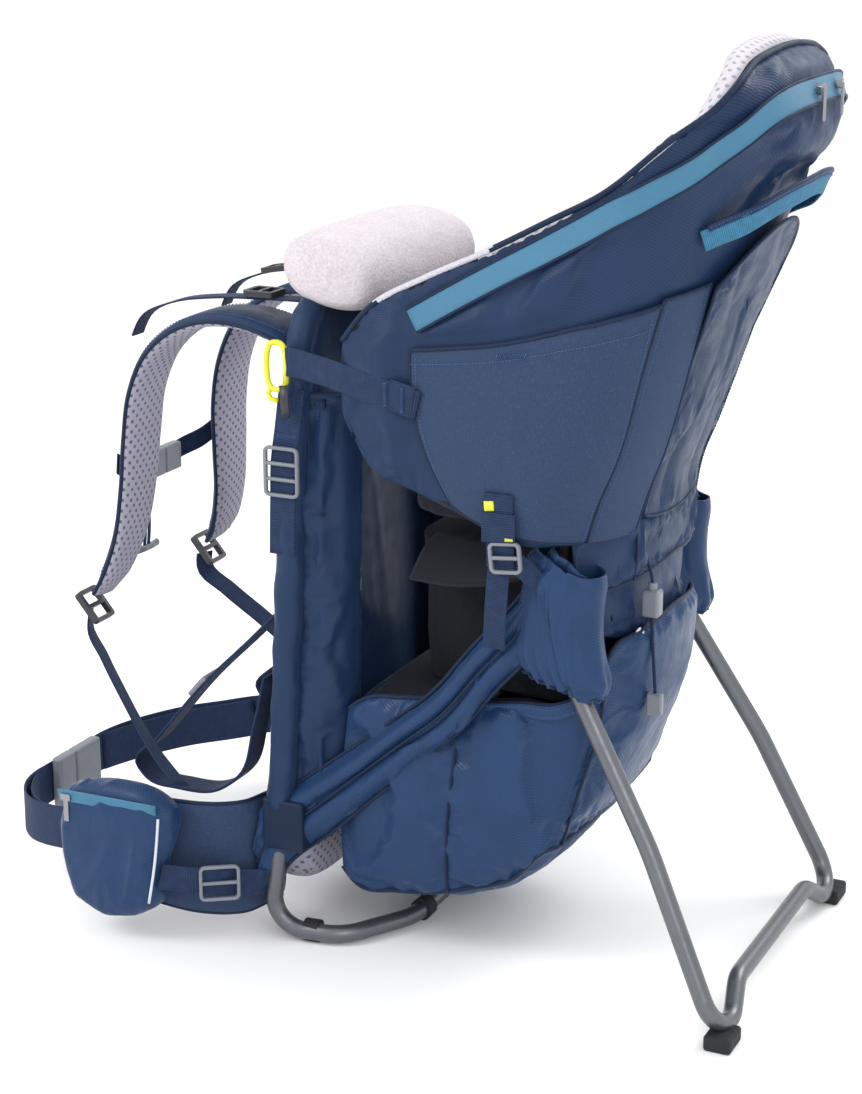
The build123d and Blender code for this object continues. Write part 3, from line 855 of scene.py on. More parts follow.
POCKET = [
    [(159, 79, 567), (159, 118, 572), (158, 159, 579), (157, 200, 590), (152, 240, 603), (130, 279, 616)],
    [(159, 82, 520), (160, 120, 515), (160, 152, 515), (157, 185, 522), (147, 220, 532), (127, 263, 550)],
    [(159, 90, 490), (160, 125, 480), (160, 150, 478), (156, 178, 481), (145, 206, 484), (120, 243, 491)],
    [(156, 101, 462), (157, 126, 450), (157, 148, 446), (153, 172, 447), (143, 196, 449), (122, 228, 452)],
    [(154, 113, 439), (155, 132, 428), (155, 148, 422), (152, 168, 418), (144, 188, 415), (126, 216, 412)],
]
COLUMN = [
    [(129, 281, 620), (110, 296, 624), (89, 306, 628)],
    [(127, 264, 560), (104, 279, 558), (79, 288, 555)],
    [(121, 244, 492), (96, 258, 488), (68, 265, 483)],
    [(121, 228, 452), (94, 240, 448), (68, 250, 444)],
    [(124, 216, 412), (98, 230, 411), (76, 240, 410)],
]


def side_panels(shell_tree):
    """The canvas side pockets and rear columns, sewn on over the shell."""
    for side, hand in SIDES:
        grid, out = patch(shell_tree, POCKET, 70, 48, 3.2, 5.0)
        panel = grid_object(f"side_pocket_{hand}", grid, facing=(1, 0, 0), side=side)
        thicken(panel, 1.4, 1.0)
        piece(panel, CANVAS)
        post, post_out = patch(shell_tree, COLUMN, 24, 48, 3.0, 1.5)
        column = grid_object(f"rear_column_{hand}", post, facing=(1, 0, 0), side=side)
        thicken(column, 1.4, 1.0)
        piece(column, CANVAS)
        seams = [tube("a", grid[0] + out[0] * 1.4, 1.7, side),
                 tube("b", grid[:, 0] + out[:, 0] * 1.2, 1.2, side),
                 tube("c", post[:, 0] + post_out[:, 0] * 1.4, 1.5, side),
                 tube("d", post[:, -1] + post_out[:, -1] * 1.2, 1.2, side),
                 tube("e", grid[-1] + out[-1] * 1.2, 1.3, side), tube("f", post[0] + post_out[0], 1.3, side)]
        piece(join(seams, f"side_seams_{hand}"), PIPING)
        sewn = [(grid[4], out[4]), (grid[2:, 2], out[2:, 2]), (post[:, 2], post_out[:, 2]),
                (post[:, -3], post_out[:, -3]), (grid[2:, -3], out[2:, -3])]
        sewing = [stitches("s", mirror_points(line + normal * 2.2, side), mirror_points(normal, side),
                           3.0, 2.1, 0.26) for line, normal in sewn]
        centre = grid[3, 30] + out[3, 30] * 2.4
        tack = bartack("t", mirror_points(centre, side), (0, 1, 0.1), (0, 0, 1), (side, 0, 0), 26, 3.2)
        piece(join(sewing + [tack], f"side_stitching_{hand}"), THREAD)


FLAP = [
    [(90, 304, 628), (78, 309, 640), (52, 320, 660), (24, 328, 671), (0, 331, 673)],
    [(80, 290, 574), (68, 294, 578), (46, 302, 586), (22, 307, 592), (0, 308, 594)],
    [(70, 270, 500), (58, 274, 500), (40, 279, 502), (20, 282, 504), (0, 283, 504)],
    [(66, 254, 450), (54, 258, 448), (38, 262, 446), (18, 265, 444), (0, 266, 444)],
    [(68, 246, 424), (54, 248, 420), (38, 250, 418), (18, 251, 416), (0, 252, 416)],
]


def back_flap(shell_tree):
    """The rear flap, which stands a little off the shell along its top edge."""
    rows = with_mirror(FLAP)
    flat = surface(rows, 90, 70)
    stand = 3.2 + 7.0 * np.clip(1 - np.arange(70) / 22, 0, 1)[:, None] * np.ones((1, 90))
    grid, out = lay(shell_tree, flat, stand.ravel())
    grid = crease_grid(grid, (0.25, 0.2, 1), 44, 3.6, seed=4)
    flap = grid_object("back_flap", grid, facing=(0, 1, 0))
    settle(flap, grid_pins(grid), grow=0.03, frames=12, cap=4, bending=0.5, sink=0.5)
    thicken(flap, 1.6, 1.0)
    piece(flap, UPPER)
    edges = [tube("a", grid[0] + out[0] * 1.0, 1.6), tube("b", grid[-1] + out[-1] * 1.2, 1.5),
             tube("c", grid[:, 0] + out[:, 0] * 1.0, 1.5), tube("d", grid[:, -1] + out[:, -1] * 1.0, 1.5)]
    piece(join(edges, "back_flap_piping"), PIPING)


def rear_band(top, low, inset, span, squeeze=1.0):
    """A band round the rear, between two heights that each run from its ends to its middle."""
    columns = []
    for angle in (span, span * 0.8, span * 0.6, span * 0.4, span * 0.2, 0):
        share = 1 - angle / span
        z0 = top[0] + (top[1] - top[0]) * share
        z1 = low[0] + (low[1] - low[0]) * share
        column = [rear(angle, z, inset) for z in np.linspace(z0, z1, 4)]
        columns.append([(x * (1 - (1 - squeeze) * k / 3), y + 3 * math.sin(math.pi * k / 3), z)
                        for k, (x, y, z) in enumerate(column)])
    return mirror_left(columns)


def seat_cuff():
    grid = loft_columns(rear_band((416, 424), (362, 372), -1.5, 57), 141, 24)
    cuff = grid_object("rear_cuff_cover", grid, facing=(0, 1, 0))
    settle(cuff, grid_pins(grid), grow=0.05, frames=14, cap=5, bending=0.4)
    thicken(cuff, 2.2)
    piece(cuff, UPPER, replaces=("rear_cuff",))
    low = loft_columns(rear_band((376, 384), (330, 298), 5, 60, 0.9), 141, 28)
    skirt = grid_object("rear_skirt", low, facing=(0, 1, 0))
    settle(skirt, grid_pins(low), grow=0.08, frames=14, cap=6, bending=0.2)
    thicken(skirt, 1.6)
    piece(skirt, UPPER)
    seams = [sweep("a", grid[-1], circle(1.9)), sweep("b", grid[0] + (0, 1, 0), circle(1.5)),
             tube("c", grid[:, 34] + (0.8, 1.2, 0), 1.3), tube("d", grid[:, 106] + (-0.8, 1.2, 0), 1.3),
             tube("e", grid[:, 0] + (1, 0.6, 0), 1.5), tube("f", grid[:, -1] + (-1, 0.6, 0), 1.5)]
    piece(join(seams, "rear_cuff_piping"), PIPING)
    base = surface([[(-104, 48, 352), (-60, 44, 372), (0, 42, 374), (60, 44, 372), (104, 48, 352)],
                    [(-116, 100, 356), (-64, 100, 374), (0, 100, 372), (64, 100, 374), (116, 100, 356)],
                    [(-124, 160, 372), (-66, 176, 378), (0, 184, 376), (66, 176, 378), (124, 160, 372)],
                    [(-112, 210, 388), (-60, 232, 388), (0, 240, 386), (60, 232, 388), (112, 210, 388)]],
                   50, 50)
    sling = grid_object("seat_sling", base, facing=(0, 0, 1))
    thicken(sling, 3.0)
    piece(sling, DARK)
    rings = [rounded_ring(0, 122, 56 * size, 98 * size, z, 3.0)
             for z, size in ((236, 0.96), (280, 1.0), (330, 1.0), (374, 1.04))]
    saddle = cushion("seat_saddle", rings, 6.0, 2.0, 5.0, 12)
    piece(saddle, DARK)


# ---- storage bag --------------------------------------------------------------------
BAG_HEIGHTS = [129, 200, 245, 292, 326]
BAG_PLACES = [199, 229, 248, 253, 255]
BAG_DEPTHS = [8, 34, 50, 60, 62]


def bag_rear(angle, z, inset=0.0):
    a = math.radians(angle)
    back, depth = (float(np.interp(z, BAG_HEIGHTS, v)) for v in (BAG_PLACES, BAG_DEPTHS))
    return ((121 - inset) * math.sin(a) ** 0.85, back - depth + (depth - inset) * math.cos(a) ** 0.85, z)


BAG_SIDE = [
    [(117, -6, 226), (121, -11, 170), (121, -13, 120), (118, -13, 74)],
    [(119, 14, 240), (127, 8, 190), (129, 2, 120), (118, 4, 58)],
    [(119, 50, 246), (131, 44, 190), (131, 40, 120), (118, 42, 60)],
    [(119, 90, 250), (132, 84, 200), (130, 80, 130), (118, 80, 66)],
    [(120, 130, 254), (131, 122, 205), (129, 116, 140), (117, 116, 77)],
    [(121, 162, 259), (129, 158, 215), (127, 153, 160), (117, 152, 92)],
] + [[bag_rear(angle, z) for z in np.linspace(top, 130, 7)]
     for angle, top in ((90, 263), (74, 272), (60, 288), (47, 314), (32, 319), (16, 323), (0, 326))]
BAG_FRONT = [(-6, 226), (-12, 170), (-14, 120), (-13, 74)]


def bag():
    grid = loft_columns(mirror_left(BAG_SIDE), 215, 60)
    body = grid_object("bag_body", grid, facing=(0, 1, 0))
    pins = grid_pins(grid).reshape(grid.shape[:2])
    sewn = (34, 180, 74, 140)
    for place in sewn:
        pins[::8, place] = 1.0
    settle(body, pins.ravel(), pressure=0.8, grow=0.08, frames=20, cap=6, bending=0.12)
    subdivide(body)
    thicken(body, 1.6)
    piece(body, LOWER, replaces=("storage_bag",))
    out = grid_normals(grid)
    out *= np.sign((out * (grid - grid.mean((0, 1)))).sum())
    lines = [sweep("a", grid[-1], circle(2.2, 8)), sweep("b", grid[0] + (0, 0, 0.5), circle(2.0, 8))]
    lines += [tube("c", grid[:, k] + out[:, k] * 1.4, 1.3) for k in sewn]
    piece(join(lines, "bag_piping"), PIPING)
    for side, hand in SIDES:
        hem = strap(f"bag_pocket_hem_{hand}", grid[0, 34:74] + out[1, 34:74] * 2.4 + (0, 0, -6), 13,
                    (0, 0.1, 1), 2.2, side)
        piece(hem, LOWER)
        rows = [grid[0, 34:74] + out[1, 34:74] * 3.9 + (0, 0, drop) for drop in (-9.5, -2.5)]
        sewing = [stitches("s", mirror_points(row, side), (side, 0, 0)) for row in rows]
        piece(join(sewing, f"bag_hem_stitching_{hand}"), THREAD)
    seam = grid[-1, :108]
    rows = []
    for k in np.linspace(0, 60, 22).astype(int):
        x, y, z = seam[k]
        rows.append([(x, y, z), (x * 0.6, y, z - 6), (0, y, z - 7), (-x * 0.6, y, z - 6), (-x, y, z)])
    x, y, z = seam[66]
    rows.append([(x, y, z), (x * 0.6, 196, z + 1), (0, 199, z), (-x * 0.6, 196, z + 1), (-x, y, z)])
    floor = surface(rows, 60, 100)
    under = grid_object("bag_bottom", floor, facing=(0, 0.5, -1))
    settle(under, grid_pins(floor), pressure=0.4, grow=0.05, frames=16, cap=8, bending=0.2)
    thicken(under, 1.6)
    piece(under, LOWER)
    front = surface([[(117, y, z), (60, y - 5, z), (0, y - 6, z), (-60, y - 5, z), (-117, y, z)]
                     for y, z in BAG_FRONT], 50, 34)
    face = grid_object("bag_front", front, facing=(0, -1, 0))
    thicken(face, 1.6)
    piece(face, LOWER)
    lining_floor = floor * np.array([0.84, 1.0, 1.0]) + np.array([0, -4, 12.0])
    lid = surface([[(108, 2, 230), (0, -2, 234), (-108, 2, 230)],
                   [(108, 60, 232), (0, 60, 236), (-108, 60, 232)],
                   [(106, 110, 234), (0, 112, 238), (-106, 110, 234)]], 20, 20)
    inner = loft_columns(mirror_left([[(x - 15, y, z) for x, y, z in column] for column in BAG_SIDE[3:6]]
                                     + [[bag_rear(angle, z, 15) for z in np.linspace(top - 4, 150, 7)]
                                        for angle, top in ((90, 263), (60, 288), (32, 319), (0, 326))]),
                         90, 30)
    parts = [grid_object("l", inner, facing=(0, -1, 0)), grid_object("l", lining_floor, facing=(0, 0, 1)),
             grid_object("l", lid, facing=(0, 0, 1))]
    lining = join(parts, "bag_lining")
    thicken(lining, 1.2)
    piece(lining, DARK)


BAND = [
    [(142, 198, 408), (150, 206, 404), (148, 214, 400), (149, 220, 394), (141, 226, 386)],
    [(138, 168, 362), (148, 172, 354), (145, 178, 345), (148, 183, 336), (138, 190, 326)],
    [(136, 120, 306), (149, 125, 297), (144, 131, 289), (149, 136, 280), (137, 142, 270)],
    [(134, 86, 264), (149, 91, 255), (143, 98, 247), (149, 104, 240), (136, 112, 232)],
    [(130, 42, 226), (148, 48, 218), (142, 55, 210), (148, 62, 202), (134, 70, 192)],
    [(128, 0, 192), (147, 8, 182), (141, 14, 174), (147, 22, 166), (133, 30, 156)],
    [(130, -44, 158), (146, -36, 146), (141, -31, 137), (147, -24, 128), (134, -14, 114)],
    [(132, -84, 128), (148, -80, 112), (145, -76, 100), (149, -70, 86), (136, -62, 70)],
    [(132, -88, 104), (150, -88, 92), (148, -86, 78), (150, -82, 62), (138, -74, 46)],
]


def side_band():
    """The fabric tunnel over the sloping tube, in two soft folds."""
    for side, hand in SIDES:
        rows = surface(BAND, 26, 96)
        band = grid_object(f"side_band_{hand}", rows, facing=(1, 0, 0.3), side=side)
        settle(band, grid_pins(rows, last_row=-2), pressure=0.3, grow=0.07, frames=18, cap=7,
               bending=0.15)
        subdivide(band)
        thicken(band, 2.0)
        piece(band, LOWER, replaces=once(side, "side_bands"))
        edges = [tube("a", rows[:, 0], 1.9, side), tube("b", rows[:, -1], 1.9, side),
                 tube("c", rows[:, 13] + (0.6, 0, 0), 1.3, side)]
        piece(join(edges, f"side_band_piping_{hand}"), PIPING)


SLEEVE_CENTRE = (131, 189)
# Height, distance behind the centre, half width and half depth of each ring.
SLEEVE = [(396, 22, 19, 30), (386, 18, 22, 35), (362, 14, 21, 37), (340, 12, 22, 39), (318, 12, 23, 42),
          (300, 14, 22, 42), (292, 15, 19, 38), (286, 16, 17, 34)]
SLEEVE_ROUND = 72
SLEEVE_DOWN = 40


def leg_sleeve():
    """The loose fabric sleeve over each kickstand joint, with a gathered hem."""
    x, y = SLEEVE_CENTRE
    for side, hand in SIDES:
        rings = [[(x + wide * squared(math.cos(a), 0.8), y + back + deep * math.sin(a),
                   top - 9 * math.sin(a))
                  for a in np.linspace(0, math.tau, 17)] for top, back, wide, deep in SLEEVE]
        grid = surface(rings, SLEEVE_ROUND, SLEEVE_DOWN)
        grid[:, -1] = grid[:, 0]
        gathers = np.sin(np.linspace(0, math.tau * 17, SLEEVE_ROUND))[None, :]
        fading = np.linspace(0, 1, SLEEVE_DOWN)[:, None] ** 3
        grid = grid + grid_normals(grid) * (gathers * fading * 1.5)[:, :, None]
        sleeve = grid_object(f"leg_sleeve_{hand}", grid, facing=None, side=side)
        face_outwards(sleeve.data, weld=0.0002)
        co = vertex_array(sleeve)
        pins = ((co[:, 2] > 0.3995) | (co[:, 2] < 0.280)).astype(float)
        settle(sleeve, pins, pressure=0.5, grow=0.09, frames=18, cap=8, bending=0.12)
        subdivide(sleeve)
        thicken(sleeve, 1.4, 0.0)
        hem = sweep(f"leg_sleeve_hem_{hand}", mirror_points(grid[-2], side), circle(1.3, 8))
        for made, material in ((sleeve, LOWER), (hem, PIPING)):
            made.data.materials.append(material)
            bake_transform(made)
        if side > 0:
            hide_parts("leg_sleeves")


# ---- frame covers and back system ---------------------------------------------------
def upright_cover():
    """Fabric sleeves over the uprights, and the panel between them."""
    for side, hand in SIDES:
        line = smooth_line([(136, -66, 128), (133, -62, 210), (129, -59, 300), (125, -56, 390),
                            (121, -53, 470), (118, -50, 520)], 60)
        cover = sweep(f"upright_sleeve_{hand}", mirror_points(line, side), circle(12.5, 16))
        crease(cover, (0.6, 0, 1), 26, 2.2, 11 + side)
        subdivide(cover)
        piece(cover, UPPER)
    rows = []
    for z in (100, 150, 220, 300, 380, 450, 505, 545, 575, 598):
        half = 128 - (z - 100) * 0.03 - max(0, z - 545) * 0.45
        rows.append([(half, -46, z), (half * 0.7, -44, z), (half * 0.35, -38, z), (0, -36, z)])
    grid = surface(with_mirror(rows), 90, 110)
    grid = crease_grid(grid, (0.2, 0, 1), 60, 3.0, seed=21)
    panel = grid_object("front_panel_cover", grid, facing=(0, -1, 0))
    thicken(panel, 9.0)
    piece(panel, UPPER, replaces=("front_panel",))
    for side, hand in SIDES:
        edge = [(126, -33, 130), (125, -31, 220), (122, -29, 320), (119, -27, 420), (117, -26, 505)]
        side_rows = [[(132, -56, z0), (130, -30, z0), (119, -10, z0), (100, -4, z0)] for z0 in
                     (128, 200, 280, 360, 440, 512)]
        side_grid = surface([[(x - (z - 128) * 0.03, y, z) for x, y, z in row] for row in side_rows], 22, 90)
        gusset = grid_object(f"panel_gusset_{hand}", side_grid, facing=(1, 0, 0), side=side)
        settle(gusset, grid_pins(side_grid), grow=0.06, frames=14, cap=6, bending=0.2)
        thicken(gusset, 1.8)
        piece(gusset, UPPER)
        lines = [tube("a", [(x + 1.6, y, z) for x, y, z in edge], 1.6, side),
                 tube("b", [(x + 2.6, y - 14, z) for x, y, z in edge], 1.3, side)]
        piece(join(lines, f"panel_piping_{hand}"), PIPING)
        row = mirror_points([(x + 2.2, y - 6, z) for x, y, z in edge], side)
        piece(stitches(f"panel_stitching_{hand}", row, (side, 0.2, 0)), THREAD)


def hoop_cover():
    """The padded fabric over the top of the frame hoop."""
    left = [(119, -50, 505), (118.4, -49, 535), (116, -48.5, 556), (108, -48, 572), (92, -48, 581),
            (60, -48, 583)]
    line = smooth_line(left + [(-x, y, z) for x, y, z in reversed(left)], 140)
    cover = sweep("hoop_cover", line, circle(11.5, 16))
    crease(cover, (0.3, 0, 1), 22, 1.8, 17)
    subdivide(cover)
    piece(cover, UPPER)


PAD_LAYERS = ((0.0, 0.9), (0.3, 1.0), (0.7, 1.0), (1.0, 0.9))


def pad_rings(low, high, power=5.0):
    """Upright pad between two corners: rings across its thickness along Y."""
    rings = []
    cx, cz = (low[0] + high[0]) / 2, (low[2] + high[2]) / 2
    for share, size in PAD_LAYERS:
        y = low[1] + (high[1] - low[1]) * share
        wide, tall = ((high[axis] - low[axis]) / 2 * size for axis in (0, 2))
        flat = rounded_ring(cx, cz, wide, tall, 0, power, 32)
        rings.append([(x, y, z) for x, z, _ in flat])
    return rings


def back_pads():
    for side, hand in SIDES:
        low, high = sorted((side * 10, side * 96))
        pad = cushion(f"back_pad_{hand}", pad_rings((low, -79, 194), (high, -50, 504)), 6.0, 3.0, 5.0, 14)
        co = vertex_array(pad)
        front = np.clip((-co[:, 1] - 0.060) / 0.012, 0, 1)
        for z in (0.268, 0.348, 0.428):
            co[:, 1] += front * 0.007 * np.exp(-((co[:, 2] - z) / 0.007) ** 2)
        set_vertices(pad, co)
        piece(pad, MESH_LILAC, replaces=once(side, "back_pads"))
    lumbar = cushion("lumbar_pad", pad_rings((-107, -107, 30), (107, -56, 147), 4.0), 6.0, 3.0, 6.0, 14)
    piece(lumbar, MESH_LILAC)


FIN = [(100, -86, 78), (122, -91, 78), (146, -99, 78), (160, -113, 79), (169, -132, 80), (175, -158, 82),
       (176, -190, 84), (174, -222, 86), (170, -246, 88)]
FIN_HEIGHT = [108, 108, 108, 107, 106, 103, 99, 94, 86]
POCKET_OUTLINE = [(-250, 142), (-259, 100), (-257, 60), (-244, 34), (-222, 23), (-190, 26), (-161, 37),
                  (-150, 80), (-141, 140), (-160, 151), (-190, 154), (-225, 150)]


def lens(width, thickness, power=2.6):
    """A padded strap's section: thick in the middle, thin at the edges."""
    count = 28
    points = []
    for k in range(count):
        a = k * math.tau / count
        points.append((width / 2 * squared(math.cos(a), 2 / power),
                       thickness / 2 * squared(math.sin(a), 0.75)))
    return points


def hip_belt():
    for side, hand in SIDES:
        route = smooth_line(FIN, 60)
        heights = np.interp(np.linspace(0, 1, 60), np.linspace(0, 1, len(FIN)), FIN_HEIGHT)
        scale = np.stack([heights, np.clip(np.linspace(0, 8, 60)[::-1], 0.55, 1)], axis=1)
        profile = [(a / 100, b) for a, b in lens(100, 15)]
        fin = sweep(f"hip_fin_pad_{hand}", mirror_points(route, side), profile, side=(0, 0, 1), scale=scale)
        subdivide(fin)
        centre = Vector((side * 60, -190, 80))
        two_tone(fin, CANVAS, MESH_LILAC,
                 lambda c, n: Vector((centre.x - c.x, centre.y - c.y, 0)).dot(Vector((n.x, n.y, 0))) > 0 and
                 abs(n.z) < 0.6)
        piece(fin, None, replaces=(f"hip_fin_{hand}",))
        edge = [route + (1, 0, 0) + np.array([(0, 0, 1.0)]) * (heights[:, None] / 2 * sign)
                for sign in (1, -1)]
        piping = join([tube("e", e, 1.9, side) for e in edge], f"hip_fin_piping_{hand}")
        piece(piping, PIPING)
        rings = []
        cy, cz = -202, 86
        for x, size in ((184, 0.96), (190, 1.0), (203, 0.99), (209, 0.93), (211, 0.86)):
            ring = [(cy + (y - cy) * size, cz + (z - cz) * size) for y, z in POCKET_OUTLINE]
            rings.append([(side * (x + 0.03 * (y + 202)), y, z) for y, z in ring])
        pocket = cushion(f"hip_pocket_body_{hand}", rings, 4.0, 2.5, 4.0, 14)
        crease(pocket, (0, 0.4, 1), 34, 2.4, 31 + side, stretch=2.5, beyond=0.195)
        piece(pocket, LOWER, replaces=(f"hip_pocket_{hand}",))
        tape_line = [(212.2, -254, 136), (213.6, -228, 137.4), (214.2, -200, 138), (214.8, -172, 138.4),
                     (213.6, -150, 138)]
        tape = strap(f"hip_pocket_tape_{hand}", tape_line, 12, (0.12, 0, 1), 1.2, side)
        piece(tape, POCKET_TAPE)
        trim = [(214 + 0.02 * (y + 200), y, z) for y, z in ((-147, 132), (-152, 90), (-160, 48))]
        piece(tube(f"hip_pocket_trim_{hand}", trim, 1.3, side), REFLECTIVE)


def hip_webbing_piece():
    for side, hand in SIDES:
        outer = [(171, -240, 87), (167, -262, 83), (158, -294, 76), (140, -334, 69), (112, -363, 64),
                 (80, -381, 61), (60, -385.9, 60), (36, -386, 60), (11, -386, 60)]
        web = strap(f"hip_belt_web_{hand}", outer, 42, (0, 0, 1), 2.2, side)
        piece(web, WEBBING, replaces=once(side, "hip_webbing"))
        under = [(x * 0.975, y + 6 * math.sin(math.pi * k / 5) + 1, z - 1)
                 for k, (x, y, z) in enumerate(outer[1:7])]
        tail = strap(f"hip_belt_tail_{hand}", under, 40, (0, 0, 1), 2.0, side)
        piece(tail, WEBBING)
        line = [(210, -150, 74), (204, -143, 72), (196, -126, 70), (181, -104, 66), (165, -91, 62),
                (150, -76, 58)]
        stab = strap(f"stabiliser_web_{hand}", line, 25, (0, 0, 1), 1.9, side)
        piece(stab, WEBBING, replaces=once(side, "stabiliser_straps"))
        tack = bartack(f"stabiliser_tack_{hand}", mirror_points((170, -96, 63.5), side), (0.1 * side, 0, 1),
                       (0, 1, 0), (0.6 * side, -0.7, 0), 20, 3)
        piece(tack, THREAD)


# ---- shoulder straps ----------------------------------------------------------------
SHOULDER = [(80, -56, 543), (80, -80, 554), (80, -112, 562), (80, -148, 562), (80, -182, 550),
            (80, -210, 526), (80, -228, 490), (80, -236, 445), (84, -239, 400), (92, -245, 352),
            (100, -257, 316), (104, -270, 294)]
SHOULDER_WIDTH = [66, 69, 68, 66, 64, 63, 62, 62, 60, 56, 50, 40]


def shoulder_harness():
    for side, hand in SIDES:
        route = smooth_line(SHOULDER, 130)
        widths = smooth_line([(w, 0, k * 10) for k, w in enumerate(SHOULDER_WIDTH)], 130)[:, 0]
        ends = np.minimum(np.linspace(0, 20, 130), np.linspace(0, 20, 130)[::-1])
        thick = np.clip(0.35 + ends * 0.5, 0.3, 1)
        scale = np.stack([widths, thick], axis=1)
        profile = [(a / 100, b) for a, b in lens(100, 14, 3.0)]
        padding = sweep(f"shoulder_pad_{hand}", mirror_points(route, side), profile,
                        side=(1, 0, 0), scale=scale)
        subdivide(padding)
        two_tone(padding, UPPER, MESH_LILAC,
                 lambda c, n: Vector((0, -120 - c.y, 420 - c.z)).normalized().dot(n) > 0.12)
        piece(padding, None, replaces=(f"shoulder_strap_{hand}",))
        across = np.array([1.0, 0, 0])
        edges = [route + across * (widths[:, None] / 2 * sign) for sign in (-1, 1)]
        piping = join([tube("e", e[2:-2], 1.9, side) for e in edges], f"shoulder_piping_{hand}")
        piece(piping, PIPING)
        ups = frames_along(route, (1, 0, 0))[2]
        outward = -ups if ups[60][1] > 0 else ups
        out = mirror_points(outward, side)
        rows = [mirror_points(route + outward * 6.3 + across * (widths[:, None] * 0.36 * sign), side)
                for sign in (-1, 1)]
        sewing = [stitches("s", row[6:-6], out[6:-6], 3.6, 2.6, 0.34) for row in rows]
        piece(join(sewing, f"shoulder_stitching_{hand}"), THREAD)
        ladder = route[52:118] + outward[52:118] * 7.2
        piece(strap(f"shoulder_web_{hand}", ladder[::6], 20, (1, 0, 0), 1.8, side), WEBBING)
        lifter = [(80, -236, 538), (80, -226, 556), (80, -196, 571), (80, -150, 579.5), (80, -104, 582),
                  (80, -62, 583)]
        piece(strap(f"load_lifter_web_{hand}", lifter, 20, (1, 0, 0), 1.8, side), WEBBING,
              replaces=once(side, "load_lifter_straps"))
        lower = [(104, -283, 276), (105, -284, 262), (116, -262, 236), (128, -238, 212), (150, -188, 166),
                 (166, -152, 146)]
        piece(strap(f"lower_shoulder_web_{hand}", lower, 20, (1, 0.4, 0), 1.8, side), WEBBING,
              replaces=once(side, "lower_shoulder_straps"))


def sternum_strap():
    for side, hand in SIDES:
        line = [(100, -250, 420), (84, -256, 413), (66, -260, 407), (46, -268, 402), (26, -269, 400),
                (7, -268.6, 400)]
        piece(strap(f"sternum_web_{hand}", line, 19, (0, 0, 1), 1.7, side), WEBBING, "sternum",
              once(side, "sternum_webbing"))
    tails = [strap("t", [(16 + k * 7, -270.5, 396), (17 + k * 7, -274, 372), (15 + k * 7, -272, 346),
                         (18 + k * 7, -272, 318)], 5, (1, 0, 0), 1.4) for k in (0, 1)]
    piece(join(tails, "sternum_tails"), WEBBING, "sternum")
    clip = sweep("sternum_tail_clip", [(2, -272, 317), (12, -272.5, 316), (24, -272.5, 316),
                                       (36, -272, 317)],
                 band_profile(7, 5), side=(0, 0, 1))
    piece(clip, GREY_PLASTIC, "sternum")


# ---- straps and hardware on the sides -----------------------------------------------
def ring_buckle(name, centre, across, up, width, height, bars):
    """A ladder lock: a rounded ring with a rolled edge and ribbed cross bars."""
    thick, deep = 2.6, 4.4
    centre, across, up = (np.asarray(v, float) for v in (centre, across, up))
    across, up = across / np.linalg.norm(across), up / np.linalg.norm(up)
    out = np.cross(across, up)
    outline = []
    corner = 4.0
    for sx, sy, start in ((1, 1, 0), (-1, 1, 90), (-1, -1, 180), (1, -1, 270)):
        for a in np.radians(np.linspace(start, start + 90, 6)):
            outline.append(centre + across * (sx * (width / 2 - corner) + corner * math.cos(a))
                           + up * (sy * (height / 2 - corner) + corner * math.sin(a)))
    profile = [(squared(math.cos(a), 0.6) * deep / 2, squared(math.sin(a), 0.6) * thick / 2 * 1.25)
               for a in np.linspace(0, math.tau, 15)[:-1]]
    ring = sweep("r", np.array(outline), profile, side=np.array([out] * len(outline)), closed=True)
    parts = [ring]
    for b in range(bars):
        level = centre + up * (height * ((b + 1) / (bars + 1) - 0.5))
        line = [level + across * s for s in np.linspace(-width / 2 + 1, width / 2 - 1, 24)]
        ribs = [(1.0, 0.82 + 0.18 * (k % 2)) for k in range(24)]
        parts.append(sweep("b", np.array(line), circle(2.0, 10), side=out, scale=np.array(ribs)))
    return join(parts, name)


